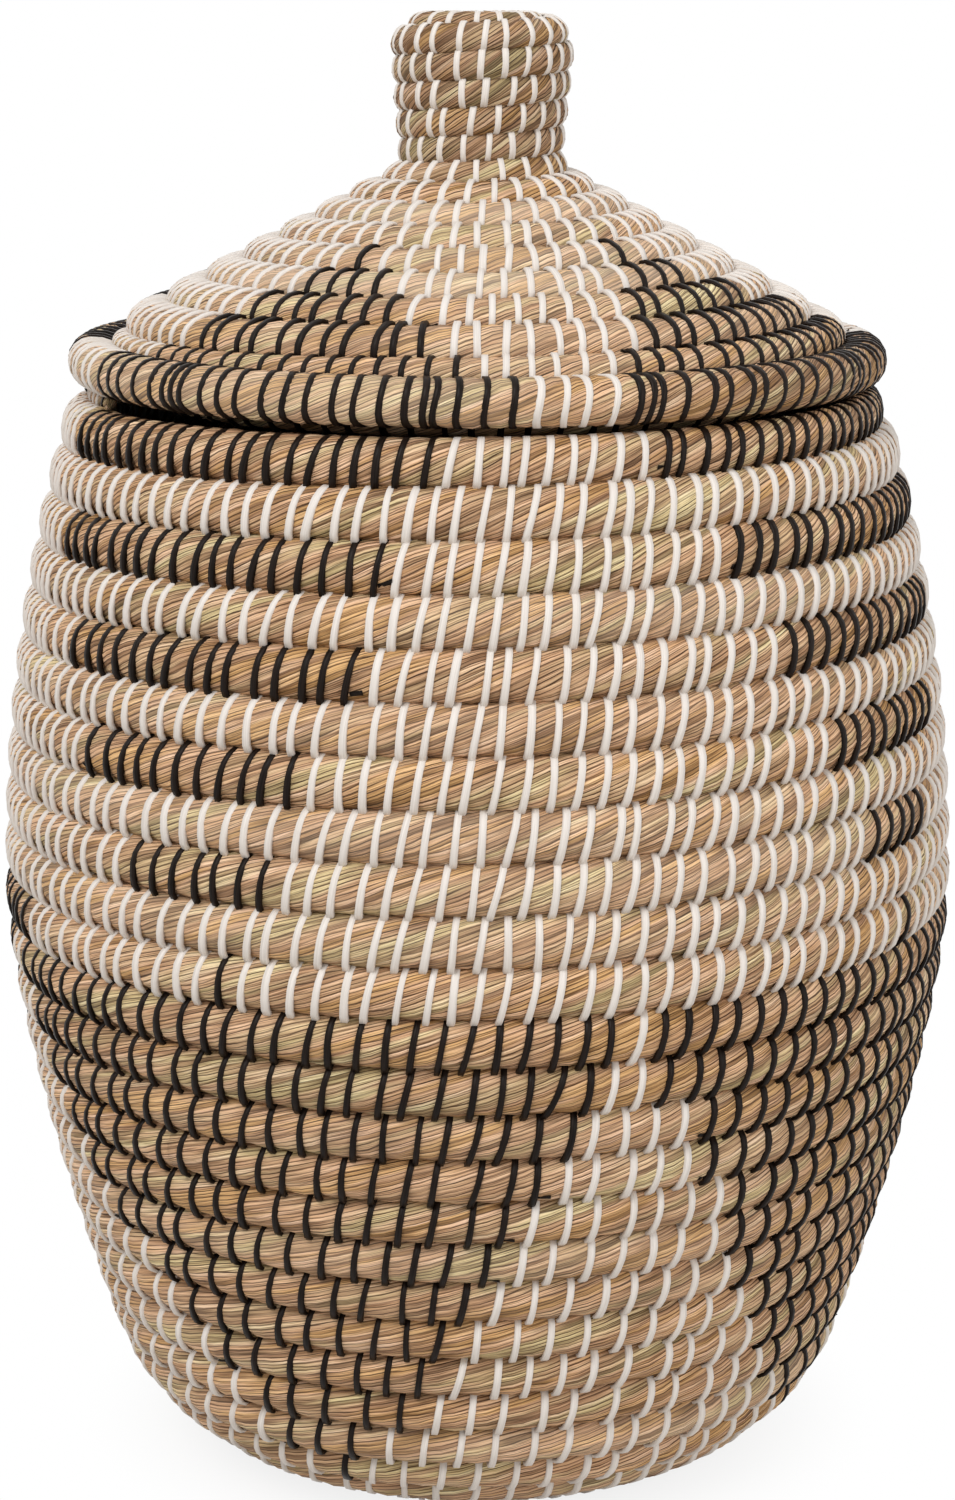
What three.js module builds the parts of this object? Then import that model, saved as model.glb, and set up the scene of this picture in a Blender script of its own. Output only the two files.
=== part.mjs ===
// A lidded laundry basket of coiled seagrass.
//
// One long bundle of grass is laid in a spiral from the middle of the base to the mouth, and a
// second one from the middle of the knob to the edge of the lid. Each bundle is modelled as the
// stretches that the maker splices end to end. Two level hoops finish the lid: the thick rim that
// rests on the mouth and a ring under the crown that drops into it.
//
// Millimetres, +Z up, the origin under the middle of the base, -Y to the front.

import * as THREE from 'three';

const DEGREE = Math.PI / 180;

// Basket shape, on the centre line of the bundle
const BASE_FLAT_RADIUS = 82;
const FOOT_BEND_RADIUS = 72;
const FOOT_LEAN = 18 * DEGREE;
const BELLY_RADIUS = 191;
const BELLY_HEIGHT = 243;
const MOUTH_RADIUS = 161.7;
const MOUTH_HEIGHT = 441.4;
const UPPER_WALL_POWER = 2;

// Basket bundle: row widths in the middle of the base, from the foot up and from the belly up, the
// thickness, the lashing between two rows, the start and the flat it stands on
const BASE_ROW_WIDTH = 26;
const LOWER_ROW_WIDTH = 17.25;
const WALL_ROW_WIDTH = 18.8;
const WALL_ROW_THICKNESS = 18.8;
const LASHING_GAP = 1.1;
const BASE_START_RADIUS = 14.5;
const STANDING_FLAT = 1.9;

// Rows in each spliced stretch below the last turn, counted down from the mouth
const UPPER_WALL_ROWS = 10;
const LOWER_WALL_ROWS = 9;

// The last turn of each bundle thins to a tip so that its edge runs out nearly level: at the mouth
// from its start, on the crown only past the front
const TAIL_TIP_SHARE = 0.25;
const MOUTH_TAIL_CURVE = 1.4;
const MOUTH_TAIL_AZIMUTH = -67.5 * DEGREE;
const CROWN_TAIL_CURVE = 2.4;
const CROWN_TAIL_AZIMUTH = -112.5 * DEGREE;

// Lid shape: the rim hoop stands outside the mouth's centre line by its overhang, and the knob's
// side leans in from its top to its foot
const LID_HEIGHT = 149;
const RIM_OVERHANG = -2.2;
const RIM_WIDTH = 18.4;
const RIM_THICKNESS = 20;
const CROWN_SLOPE = 29.3 * DEGREE;
const CROWN_TOP_ROW_WIDTH = 14;
const CROWN_FOOT_ROW_WIDTH = 18.5;
const KNOB_RADIUS = 32.4;
const KNOB_LEAN = 5 * DEGREE;
const KNOB_ROW_WIDTH = 9.9;
const KNOB_TOP_BEND_RADIUS = 10;
const KNOB_FOOT_BEND_RADIUS = 14;
const KNOB_START_RADIUS = 7.5;

// Ring under the crown that keeps the lid centred in the mouth
const SEAT_RING_WIDTH = 18;
const SEAT_RING_CLEARANCE = 8;

// Gaps where pieces meet, rest on each other and butt end to end
const JOIN_GAP = 0.3;
const SEAT_GAP = 0.3;
const HOOP_BUTT_GAP = 0.6;
const HOOP_BUTT_AZIMUTH = 180 * DEGREE;

// Facets: sections in each turn, passes that seat the crown's edge in the rim, and the six corners
// of a section as shares of its half size
const STEPS_PER_TURN = 16;
const SEATING_PASSES = 4;
const SECTION = [[1, 0], [0.5, 1], [-0.5, 1], [-1, 0], [-0.5, -1], [0.5, -1]];

// Colours of the lashed grass: pale where the strips are white, darker where they are black
const GRASS_WHITE_LASHED = 0xcdb596;
const GRASS_MIXED_LASHED = 0xb79c78;
const GRASS_BLACK_LASHED = 0x97805f;
const GRASS_ROUGHNESS = 0.85;

/** Wall that swells from an end radius to the belly by a power of the height. */
class SwellCurve extends THREE.Curve {
  constructor(end, power, fromHeight, toHeight) {
    super();
    this.end = end;
    this.power = power;
    this.fromHeight = fromHeight;
    this.toHeight = toHeight;
  }

  getPoint(t, target = new THREE.Vector2()) {
    const height = THREE.MathUtils.lerp(this.fromHeight, this.toHeight, t);
    const share = Math.abs((height - BELLY_HEIGHT) / (this.end.y - BELLY_HEIGHT));
    return target.set(BELLY_RADIUS - (BELLY_RADIUS - this.end.x) * share ** this.power, height);
  }
}

/** Radius and height of the centre line, read by the length run along it. */
class Profile {
  constructor(curves, side, floor) {
    this.path = new THREE.CurvePath();
    curves.forEach((curve) => this.path.add(curve));
    this.lengths = this.path.getCurveLengths();
    this.side = side;
    this.floor = floor;
  }

  /** Point, direction of travel and outward normal at a run length. */
  at(run) {
    const share = run / this.path.getLength();
    const point = this.path.getPoint(share);
    const along = this.path.getTangent(share);
    const out = new THREE.Vector2(along.y, -along.x).multiplyScalar(this.side);
    return { point, along, out, floor: this.floor };
  }
}

/** Bend between two straight stretches, from one heading to another about a centre. */
function bend(centre, radius, fromAngle, toAngle) {
  const clockwise = toAngle < fromAngle;
  return new THREE.EllipseCurve(centre.x, centre.y, radius, radius, fromAngle, toAngle, clockwise);
}

/** Base, foot, wall and the run-out past the mouth, cut flat where it stands. */
function basketProfile() {
  const baseLine = WALL_ROW_THICKNESS / 2 - STANDING_FLAT;
  const bendEnd = -FOOT_LEAN;
  const foot = new THREE.Vector2(
    BASE_FLAT_RADIUS + FOOT_BEND_RADIUS * Math.cos(bendEnd),
    baseLine + FOOT_BEND_RADIUS * (1 + Math.sin(bendEnd)),
  );
  const mouth = new THREE.Vector2(MOUTH_RADIUS, MOUTH_HEIGHT);
  const footPower = Math.tan(FOOT_LEAN) * (BELLY_HEIGHT - foot.y) / (BELLY_RADIUS - foot.x);
  const bendCentre = new THREE.Vector2(BASE_FLAT_RADIUS, baseLine + FOOT_BEND_RADIUS);
  const runOut = MOUTH_HEIGHT + 2 * WALL_ROW_WIDTH;
  return new Profile([
    new THREE.LineCurve(new THREE.Vector2(0, baseLine), new THREE.Vector2(BASE_FLAT_RADIUS, baseLine)),
    bend(bendCentre, FOOT_BEND_RADIUS, -Math.PI / 2, bendEnd),
    new SwellCurve(foot, footPower, foot.y, BELLY_HEIGHT),
    new SwellCurve(mouth, UPPER_WALL_POWER, BELLY_HEIGHT, MOUTH_HEIGHT),
    new SwellCurve(mouth, UPPER_WALL_POWER, MOUTH_HEIGHT, runOut),
  ], 1, 0);
}

/** Centre of the rim hoop's section, with the lid standing on its rim at height 0. */
const rimCentre = new THREE.Vector2(MOUTH_RADIUS + RIM_OVERHANG, RIM_THICKNESS / 2);

/** Knob top, knob side and crown, ending at the centre of the rim hoop. */
function lidProfile() {
  const top = LID_HEIGHT - KNOB_ROW_WIDTH / 2;
  const topBendCentre = new THREE.Vector2(KNOB_RADIUS - KNOB_TOP_BEND_RADIUS, top - KNOB_TOP_BEND_RADIUS);
  const topBend = bend(topBendCentre, KNOB_TOP_BEND_RADIUS, Math.PI / 2, -KNOB_LEAN);

  // The foot bend touches the leaning knob side and the crown line
  const offSide = new THREE.Vector2(Math.cos(KNOB_LEAN), -Math.sin(KNOB_LEAN));
  const offCrown = new THREE.Vector2(Math.sin(CROWN_SLOPE), Math.cos(CROWN_SLOPE));
  const fromSide = KNOB_FOOT_BEND_RADIUS + topBend.getPoint(1).dot(offSide);
  const fromCrown = KNOB_FOOT_BEND_RADIUS + rimCentre.dot(offCrown);
  const footBendCentre = new THREE.Vector2(
    fromSide * offCrown.y - fromCrown * offSide.y,
    fromCrown * offSide.x - fromSide * offCrown.x,
  ).divideScalar(Math.cos(KNOB_LEAN - CROWN_SLOPE));
  const turn = Math.PI / 2 - CROWN_SLOPE;
  const footBend = bend(footBendCentre, KNOB_FOOT_BEND_RADIUS, Math.PI - KNOB_LEAN, Math.PI + turn);
  return new Profile([
    new THREE.LineCurve(new THREE.Vector2(0, top), new THREE.Vector2(topBendCentre.x, top)),
    topBend,
    new THREE.LineCurve(topBend.getPoint(1), footBend.getPoint(0)),
    footBend,
    new THREE.LineCurve(footBend.getPoint(1), rimCentre),
  ], -1, -Infinity);
}

/** Row width that changes evenly between stops, each a run length and the width there. */
function rowWidth(stops) {
  const [first] = stops;
  const last = stops[stops.length - 1];
  return (run) => {
    const next = stops.findIndex(([at]) => run < at);
    if (next <= 0) {
      return next < 0 ? last[1] : first[1];
    }
    const [from, fromWidth] = stops[next - 1];
    const [to, toWidth] = stops[next];
    return THREE.MathUtils.mapLinear(run, from, to, fromWidth, toWidth);
  };
}

/** How far a section of the given half sizes reaches in a direction. */
function reach(halfWidth, halfThickness, direction) {
  return Math.max(...SECTION.map(([w, t]) => w * halfWidth * direction.x + t * halfThickness * direction.y));
}

/** Distance from the centre of a section to its side along a direction. */
function spoke(halfWidth, halfThickness, direction) {
  const corners = SECTION.map(([w, t]) => new THREE.Vector2(w * halfWidth, t * halfThickness));
  const nearness = corners.map((corner, k) => {
    const side = corners[(k + 1) % corners.length].clone().sub(corner);
    return side.cross(direction) / side.cross(corner);
  });
  return 1 / Math.max(...nearness);
}

/** Six corners of the bundle's section in the upright plane at an azimuth, none below its floor. */
function sectionCorners(frame, halfWidth, halfThickness, azimuth) {
  return SECTION.map(([w, t]) => {
    const radius = frame.point.x + w * halfWidth * frame.along.x + t * halfThickness * frame.out.x;
    const height = frame.point.y + w * halfWidth * frame.along.y + t * halfThickness * frame.out.y;
    const standing = Math.max(height, frame.floor);
    return new THREE.Vector3(radius * Math.sin(azimuth), -radius * Math.cos(azimuth), standing);
  });
}

/** Section moved back from its neighbour towards the next one by a distance along the bundle. */
function trimmed(section, next, distance) {
  const share = distance / section[0].distanceTo(next[0]);
  return section.map((corner, k) => corner.clone().lerp(next[k], share));
}

/** Closed tube through a row of sections, with each end trimmed for the piece that it meets. */
function tube(sections, startTrim, endTrim) {
  const last = sections.length - 1;
  const rings = [...sections];
  rings[0] = trimmed(sections[0], sections[1], startTrim);
  rings[last] = trimmed(sections[last], sections[last - 1], endTrim);
  const sides = SECTION.length;
  const index = [];
  for (let j = 0; j < last; j += 1) {
    for (let k = 0; k < sides; k += 1) {
      const a = j * sides + k;
      const b = j * sides + (k + 1) % sides;
      index.push(a, b, b + sides, a, b + sides, a + sides);
    }
  }
  for (let k = 1; k < sides - 1; k += 1) {
    index.push(0, k + 1, k);
    index.push(last * sides, last * sides + k, last * sides + k + 1);
  }
  const geometry = new THREE.BufferGeometry().setFromPoints(rings.flat());
  geometry.setIndex(index);
  geometry.computeVertexNormals();
  geometry.userData.rings = rings;
  return geometry;
}

/** Least distance between corners of a tube that lie at least half a turn apart along it. */
function leastGapToItself(rings) {
  let least = Infinity;
  rings.forEach((ring, j) => {
    rings.slice(j + STEPS_PER_TURN / 2).forEach((other) => {
      ring.forEach((corner) => other.forEach((point) => {
        least = Math.min(least, corner.distanceTo(point));
      }));
    });
  });
  return least;
}

/**
 * A spiral bundle, read by steps from the start of its last turn: steps below 0 run back to the
 * middle, and steps 0 to one turn are the tail that thins to a tip.
 */
class Bundle {
  constructor(profile, lastTurnRun, lastTurnAzimuth, tailCurve, widthAt, thicknessAt) {
    this.profile = profile;
    this.azimuth = lastTurnAzimuth;
    this.tailCurve = tailCurve;
    this.widthAt = widthAt;
    this.thicknessAt = thicknessAt;
    this.runs = new Map([[0, lastTurnRun]]);
  }

  /** Run length of the untapered bundle at a step. */
  runAt(step) {
    const nearest = step > 0 ? step - 1 : step + 1;
    if (!this.runs.has(step)) {
      const from = this.runAt(nearest);
      const advance = (this.widthAt(from) + LASHING_GAP) / STEPS_PER_TURN;
      this.runs.set(step, from + (step - nearest) * advance);
    }
    return this.runs.get(step);
  }

  /** First step whose run reaches a length. */
  stepAt(run) {
    let step = 0;
    while (this.runAt(step - 1) >= run) {
      step -= 1;
    }
    return step;
  }

  /** Share of the full section that is left at a step. */
  shareAt(step) {
    return 1 - (1 - TAIL_TIP_SHARE) * (Math.max(step, 0) / STEPS_PER_TURN) ** this.tailCurve;
  }

  /** Run length of the bundle's outer edge at a step. */
  edgeAt(step) {
    const run = this.runAt(step);
    return run + this.widthAt(run) * (this.shareAt(step) - 0.5);
  }

  /** Run length that the tail's edge reaches at its outermost step. */
  outerEdge() {
    const edges = Array.from({ length: STEPS_PER_TURN + 1 }, (_, step) => this.edgeAt(step));
    return Math.max(...edges);
  }

  /** Corners of the section at a step. */
  sectionAt(step) {
    const full = this.runAt(step);
    const share = this.shareAt(step);
    const halfWidth = this.widthAt(full) / 2;
    const run = full - halfWidth * (1 - share);
    const azimuth = this.azimuth + this.profile.side * step * 2 * Math.PI / STEPS_PER_TURN;
    const halfThickness = this.thicknessAt(full) / 2;
    return sectionCorners(this.profile.at(run), halfWidth * share, halfThickness * share, azimuth);
  }

  /** One unbroken stretch of the bundle between two steps. */
  stretch(fromStep, toStep) {
    const sections = [];
    for (let step = fromStep; step <= toStep; step += 1) {
      sections.push(this.sectionAt(step));
    }
    return tube(sections, JOIN_GAP / 2, JOIN_GAP / 2);
  }
}

/** Level hoop of one turn whose two ends butt at the back. */
function hoop(frame, halfWidth, halfThickness) {
  const sections = [];
  for (let step = 0; step <= STEPS_PER_TURN; step += 1) {
    const azimuth = HOOP_BUTT_AZIMUTH - step * 2 * Math.PI / STEPS_PER_TURN;
    sections.push(sectionCorners(frame, halfWidth, halfThickness, azimuth));
  }
  return tube(sections, HOOP_BUTT_GAP / 2, HOOP_BUTT_GAP / 2);
}

/** Named piece with its own finish. */
function piece(name, geometry, color) {
  const material = new THREE.MeshStandardMaterial({ color, roughness: GRASS_ROUGHNESS, metalness: 0 });
  const mesh = new THREE.Mesh(geometry, material);
  mesh.name = name;
  console.log(`${name}: least gap to itself ${leastGapToItself(geometry.userData.rings).toFixed(2)} mm`);
  return mesh;
}

/** Basket: one bundle from the middle of the base to the tip at the mouth. */
function buildBasket() {
  const profile = basketProfile();
  const [baseRun, footRun, bellyRun, mouthRun] = profile.lengths;
  const widthAt = rowWidth([
    [BASE_START_RADIUS, BASE_ROW_WIDTH],
    [(baseRun + footRun) / 2, LOWER_ROW_WIDTH],
    [(footRun + bellyRun) / 2, LOWER_ROW_WIDTH],
    [bellyRun, WALL_ROW_WIDTH],
  ]);
  const thicknessAt = () => WALL_ROW_THICKNESS;
  const bundle = new Bundle(
    profile,
    mouthRun,
    MOUTH_TAIL_AZIMUTH,
    MOUTH_TAIL_CURVE,
    widthAt,
    thicknessAt,
  );
  const upperStart = -UPPER_WALL_ROWS * STEPS_PER_TURN;
  const lowerStart = upperStart - LOWER_WALL_ROWS * STEPS_PER_TURN;
  const footStart = bundle.stepAt(baseRun);
  const baseStart = bundle.stepAt(BASE_START_RADIUS);
  const basket = new THREE.Group();
  basket.add(
    piece('base_coil', bundle.stretch(baseStart, footStart), GRASS_WHITE_LASHED),
    piece('foot_coil', bundle.stretch(footStart, lowerStart), GRASS_WHITE_LASHED),
    piece('lower_wall_coil', bundle.stretch(lowerStart, upperStart), GRASS_BLACK_LASHED),
    piece('upper_wall_coil', bundle.stretch(upperStart, 0), GRASS_WHITE_LASHED),
    piece('mouth_coil', bundle.stretch(0, STEPS_PER_TURN), GRASS_MIXED_LASHED),
  );
  return basket;
}

/** Lid: one bundle from the middle of the knob to a tip inside the rim, the rim and the seat ring. */
function buildLid() {
  const profile = lidProfile();
  const [topRun, , knobRun, crownRun, rimRun] = profile.lengths;
  const crown = profile.at((crownRun + rimRun) / 2);
  const widthAt = rowWidth([
    [knobRun, KNOB_ROW_WIDTH],
    [crownRun, CROWN_TOP_ROW_WIDTH],
    [rimRun, CROWN_FOOT_ROW_WIDTH],
  ]);

  // The tail's edge comes to rest just inside the rim hoop
  const inwards = crown.along.clone().negate();
  const edgeRun = rimRun - spoke(RIM_WIDTH / 2, RIM_THICKNESS / 2, inwards) - JOIN_GAP;
  const bundleFrom = (run) => new Bundle(
    profile,
    run,
    CROWN_TAIL_AZIMUTH,
    CROWN_TAIL_CURVE,
    widthAt,
    widthAt,
  );
  let lastTurnRun = edgeRun;
  for (let pass = 0; pass < SEATING_PASSES; pass += 1) {
    lastTurnRun += edgeRun - bundleFrom(lastTurnRun).outerEdge();
  }
  const bundle = bundleFrom(lastTurnRun);

  // The seat ring hangs under the crown's inner face, clear of the mouth
  const seatHalf = SEAT_RING_WIDTH / 2;
  const drop = widthAt(lastTurnRun) / 2 + JOIN_GAP + seatHalf;
  const radial = new THREE.Vector2(crown.along.x, crown.out.x);
  const seatOuter = MOUTH_RADIUS - WALL_ROW_THICKNESS / 2 - SEAT_RING_CLEARANCE;
  const seatRadius = seatOuter - reach(seatHalf, seatHalf, radial);
  const crownRadius = seatRadius + drop * crown.out.x;
  const crownHeight = rimCentre.y + (rimCentre.x - crownRadius) * Math.tan(CROWN_SLOPE);
  const seatCentre = new THREE.Vector2(seatRadius, crownHeight - drop * crown.out.y);
  const seat = { ...crown, point: seatCentre };
  const along = new THREE.Vector2(1, 0);
  const out = new THREE.Vector2(0, 1);
  const rim = { point: rimCentre, along, out, floor: 0 };

  const capStart = bundle.stepAt(KNOB_START_RADIUS);
  const knobStart = bundle.stepAt(topRun);
  const crownStart = bundle.stepAt(knobRun);
  const lid = new THREE.Group();
  lid.add(
    piece('knob_cap_coil', bundle.stretch(capStart, knobStart), GRASS_WHITE_LASHED),
    piece('knob_coil', bundle.stretch(knobStart, crownStart), GRASS_WHITE_LASHED),
    piece('crown_coil', bundle.stretch(crownStart, STEPS_PER_TURN), GRASS_MIXED_LASHED),
    piece('lid_rim_hoop', hoop(rim, RIM_WIDTH / 2, RIM_THICKNESS / 2), GRASS_MIXED_LASHED),
    piece('lid_seat_ring', hoop(seat, seatHalf, seatHalf), GRASS_BLACK_LASHED),
  );
  return lid;
}

/** Highest point of a piece, where the lid comes to rest. */
function highestPoint(mesh) {
  return new THREE.Box3().setFromObject(mesh).max.z;
}

const basket = buildBasket();
const lid = buildLid();
lid.position.z = highestPoint(basket.getObjectByName('mouth_coil')) + SEAT_GAP;

const laundryBasket = new THREE.Group();
laundryBasket.add(basket, lid);

export default laundryBasket;
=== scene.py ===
"""A lidded laundry basket of coiled seagrass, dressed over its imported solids.

Each spiral bundle of grass is swept along the centre line of its solids, pinched where it is
stitched, and lashed row to row with plastic strips, white or black by the pattern of wedges.
Metres, +Z up, the origin under the middle of the base, -Y to the front.
"""

import logging
import math
from dataclasses import dataclass, field
from enum import Enum
from typing import Any, Iterable, Sequence

import bmesh
import bpy
import numpy as np
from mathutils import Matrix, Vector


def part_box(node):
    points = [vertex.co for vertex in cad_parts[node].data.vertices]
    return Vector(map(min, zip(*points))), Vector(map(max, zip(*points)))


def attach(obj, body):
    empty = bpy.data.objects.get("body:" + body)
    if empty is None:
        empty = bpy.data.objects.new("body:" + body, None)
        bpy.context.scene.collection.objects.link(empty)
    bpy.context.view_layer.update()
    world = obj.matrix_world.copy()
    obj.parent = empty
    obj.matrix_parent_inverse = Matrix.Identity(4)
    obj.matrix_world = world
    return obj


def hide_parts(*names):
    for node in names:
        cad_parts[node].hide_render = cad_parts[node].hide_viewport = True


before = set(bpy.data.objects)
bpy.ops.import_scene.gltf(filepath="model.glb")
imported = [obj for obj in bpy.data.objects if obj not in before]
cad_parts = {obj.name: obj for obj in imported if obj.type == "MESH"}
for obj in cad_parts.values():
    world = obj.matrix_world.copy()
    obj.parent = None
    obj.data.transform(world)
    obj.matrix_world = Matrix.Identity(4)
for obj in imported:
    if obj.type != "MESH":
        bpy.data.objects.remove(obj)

LOG = logging.getLogger("laundry_basket")
MM = 0.001
TURN = 2.0 * math.pi
SEED = 23
UV_NAME = "laid"
TONE_NAME = "tone"

Stops = Sequence[tuple[float, float]]
Ramp = tuple[tuple[float, str], ...]
Tree = bpy.types.NodeTree
Socket = bpy.types.NodeSocket


class Strip(Enum):
    """Colours of the plastic strip that lashes the rows."""

    WHITE = "white"
    BLACK = "black"


# Colour and nodes

# Sockets of a Mix node that mixes colours
MIX_SHARE, MIX_FIRST, MIX_SECOND, MIXED = 0, 6, 7, 2


def linear(colour: str) -> tuple[float, float, float, float]:
    """Linear colour of an sRGB hex value.

    Args:
        colour: the value, as #rrggbb.

    Returns:
        Red, green, blue and a full alpha.
    """
    shares = [int(colour[i:i + 2], 16) / 255 for i in (1, 3, 5)]
    red, green, blue = (s / 12.92 if s <= 0.04045 else ((s + 0.055) / 1.055) ** 2.4 for s in shares)
    return red, green, blue, 1.0


def add_node(
    tree: Tree,
    kind: str,
    settings: dict[str, Any] | None = None,
    inputs: dict[str | int, Any] | None = None,
    stops: Iterable[tuple[float, str]] = (),
) -> bpy.types.Node:
    """Adds a node with its settings, links and ramp.

    Args:
        tree: where the node goes.
        kind: the node's type.
        settings: properties to set on it.
        inputs: values or sockets for its inputs, by name or place.
        stops: places and hex colours of its ramp, lowest first.

    Returns:
        The node.
    """
    node = tree.nodes.new(kind)
    for name, value in (settings or {}).items():
        setattr(node, name, value)
    for key, value in (inputs or {}).items():
        if isinstance(value, Socket):
            tree.links.new(value, node.inputs[key])
        else:
            node.inputs[key].default_value = value
    for index, (place, colour) in enumerate(stops):
        elements = node.color_ramp.elements
        element = elements[index] if index < 2 else elements.new(place)
        element.position = place
        element.color = linear(colour)
    return node


def new_material(name: str) -> tuple[bpy.types.Material, Tree]:
    """Makes an empty node material.

    Args:
        name: the material's name.

    Returns:
        The material and its node tree.
    """
    material = bpy.data.materials.new(name)
    material.use_nodes = True
    material.node_tree.nodes.clear()
    return material, material.node_tree


def seen_rays(tree: Tree) -> Socket:
    """Tells the rays that show a background from those that only light the object.

    Args:
        tree: where the nodes go.

    Returns:
        1 for a ray from the camera, a mirror or clear glass, 0 for any other.
    """
    paths = add_node(tree, "ShaderNodeLightPath").outputs
    seen = paths["Is Camera Ray"]
    for kind in ("Is Glossy Ray", "Is Transmission Ray"):
        seen = add_node(
            tree, "ShaderNodeMath", {"operation": "MAXIMUM"}, {0: seen, 1: paths[kind]},
        ).outputs[0]
    return seen


# Finishes

@dataclass(frozen=True)
class DriedSeagrass:
    """Sun-dried seagrass blades, twisted together by hand.

    It gives the eye narrow straw-coloured blades that run slantwise along the row, some greenish,
    pinkish or golden, with painted shade in the cracks between them and a dull, slightly waxy surface.
    """

    name: str = "dried_seagrass"
    blade_width: float = 1.8 * MM
    blade_run: float = 60 * MM
    crack_run: float = 36 * MM
    sway: float = 1.4
    sway_width: float = 7 * MM
    sway_run: float = 30 * MM
    fibre_width: float = 0.45 * MM
    fibre_run: float = 26 * MM
    patch_width: float = 11 * MM
    patch_run: float = 120 * MM
    # Widths in blades, well under one, so that no blade is shaded like its neighbour
    blade_cell: float = 0.19
    crack_cell: float = 0.31
    streak_roughness: float = 0.6
    streak_distortion: float = 0.25
    blades: Ramp = (
        (0.30, "#a1774f"), (0.41, "#cda67b"), (0.50, "#e6c49b"), (0.59, "#f3dab7"), (0.72, "#fef2de"),
    )
    patches: Ramp = ((0.32, "#b8ab7d"), (0.43, "#ceae88"), (0.55, "#daab87"), (0.66, "#dcaa68"))
    patch_share: float = 0.68
    fibres: Ramp = ((0.31, "#86766a"), (0.49, "#e0d9d2"), (0.64, "#ffffff"))
    fibre_share: float = 0.95
    # Painted shade: dark brown that fills the gaps between the blades
    crack_painted_shade: str = "#3c2513"
    crack_levels: tuple[float, float] = (0.36, 0.58)
    crack_reach: tuple[float, float] = (0.04, 0.2)
    shallowest_crack: float = 0.48
    # Paler colour for tones over 1: the grass's own bleach, and painted light on the lid's crown and rim
    bleach_and_painted_light: str = "#f2dfc6"
    round_reach: float = 0.4
    round_share: float = 0.5
    bump: float = 0.75
    bump_height: float = 0.6 * MM
    dull_to_waxy_levels: tuple[float, float] = (0.3, 0.7)
    dull_to_waxy: tuple[float, float] = (0.74, 0.56)
    ior: float = 1.45
    specular: float = 0.3

    def noise(self, tree: Tree, laid: Socket, run: float, width: float, detail: float) -> Socket:
        """Streaks of a real length and width along the blades.

        Args:
            tree: the material's nodes.
            laid: the coordinates along and round the bundle, in metres.
            run: length of a streak, in metres.
            width: width of a streak, in metres.
            detail: how many finer layers it has.

        Returns:
            The streaks' strength, from 0 to 1.
        """
        scaled = add_node(
            tree, "ShaderNodeMapping", inputs={"Vector": laid, "Scale": (1 / run, 1 / width, 1)},
        ).outputs[0]
        return add_node(tree, "ShaderNodeTexNoise", {"noise_dimensions": "2D"}, {
            "Vector": scaled, "Scale": 1.0, "Detail": detail, "Roughness": self.streak_roughness,
            "Distortion": self.streak_distortion,
        }).outputs[0]

    def tell_apart(self, tree: Tree, laid: Socket) -> tuple[Socket, Socket]:
        """Tells the swaying blades apart.

        Args:
            tree: the material's nodes.
            laid: the coordinates along and round the bundle, in metres.

        Returns:
            Metres along the blade with its number, and the share of its width from the nearer edge.
        """
        parts = add_node(tree, "ShaderNodeSeparateXYZ", inputs={0: laid}).outputs
        swaying = self.noise(tree, laid, self.sway_run, self.sway_width, 1)
        straight = add_node(
            tree, "ShaderNodeMath", {"operation": "DIVIDE"}, {0: parts["Y"], 1: self.blade_width},
        ).outputs[0]
        count = add_node(
            tree, "ShaderNodeMath", {"operation": "MULTIPLY_ADD"}, {0: swaying, 1: self.sway, 2: straight},
        ).outputs[0]
        number = add_node(tree, "ShaderNodeMath", {"operation": "FLOOR"}, {0: count}).outputs[0]
        inside = add_node(tree, "ShaderNodeMath", {"operation": "PINGPONG"}, {0: count, 1: 0.5}).outputs[0]
        own = add_node(tree, "ShaderNodeCombineXYZ", inputs={"X": parts["X"], "Y": number}).outputs[0]
        return own, inside

    def straw(self, tree: Tree, laid: Socket, own: Socket, fibre: Socket) -> Socket:
        """Colour of the blades themselves.

        Args:
            tree: the material's nodes.
            laid: the coordinates along and round the bundle, in metres.
            own: metres along the blade with its number.
            fibre: strength of the fibres.

        Returns:
            The colour.
        """
        blade = self.noise(tree, own, self.blade_run, self.blade_cell, 2)
        patch = self.noise(tree, laid, self.patch_run, self.patch_width, 2)
        shades = add_node(tree, "ShaderNodeValToRGB", inputs={"Fac": blade}, stops=self.blades).outputs[0]
        hue = add_node(tree, "ShaderNodeValToRGB", inputs={"Fac": patch}, stops=self.patches).outputs[0]
        shade = add_node(tree, "ShaderNodeValToRGB", inputs={"Fac": fibre}, stops=self.fibres).outputs[0]
        tinted = add_node(
            tree, "ShaderNodeMix", {"data_type": "RGBA", "blend_type": "COLOR"},
            {MIX_SHARE: self.patch_share, MIX_FIRST: shades, MIX_SECOND: hue},
        ).outputs[MIXED]
        return add_node(
            tree, "ShaderNodeMix", {"data_type": "RGBA", "blend_type": "MULTIPLY"},
            {MIX_SHARE: self.fibre_share, MIX_FIRST: tinted, MIX_SECOND: shade},
        ).outputs[MIXED]

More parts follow.
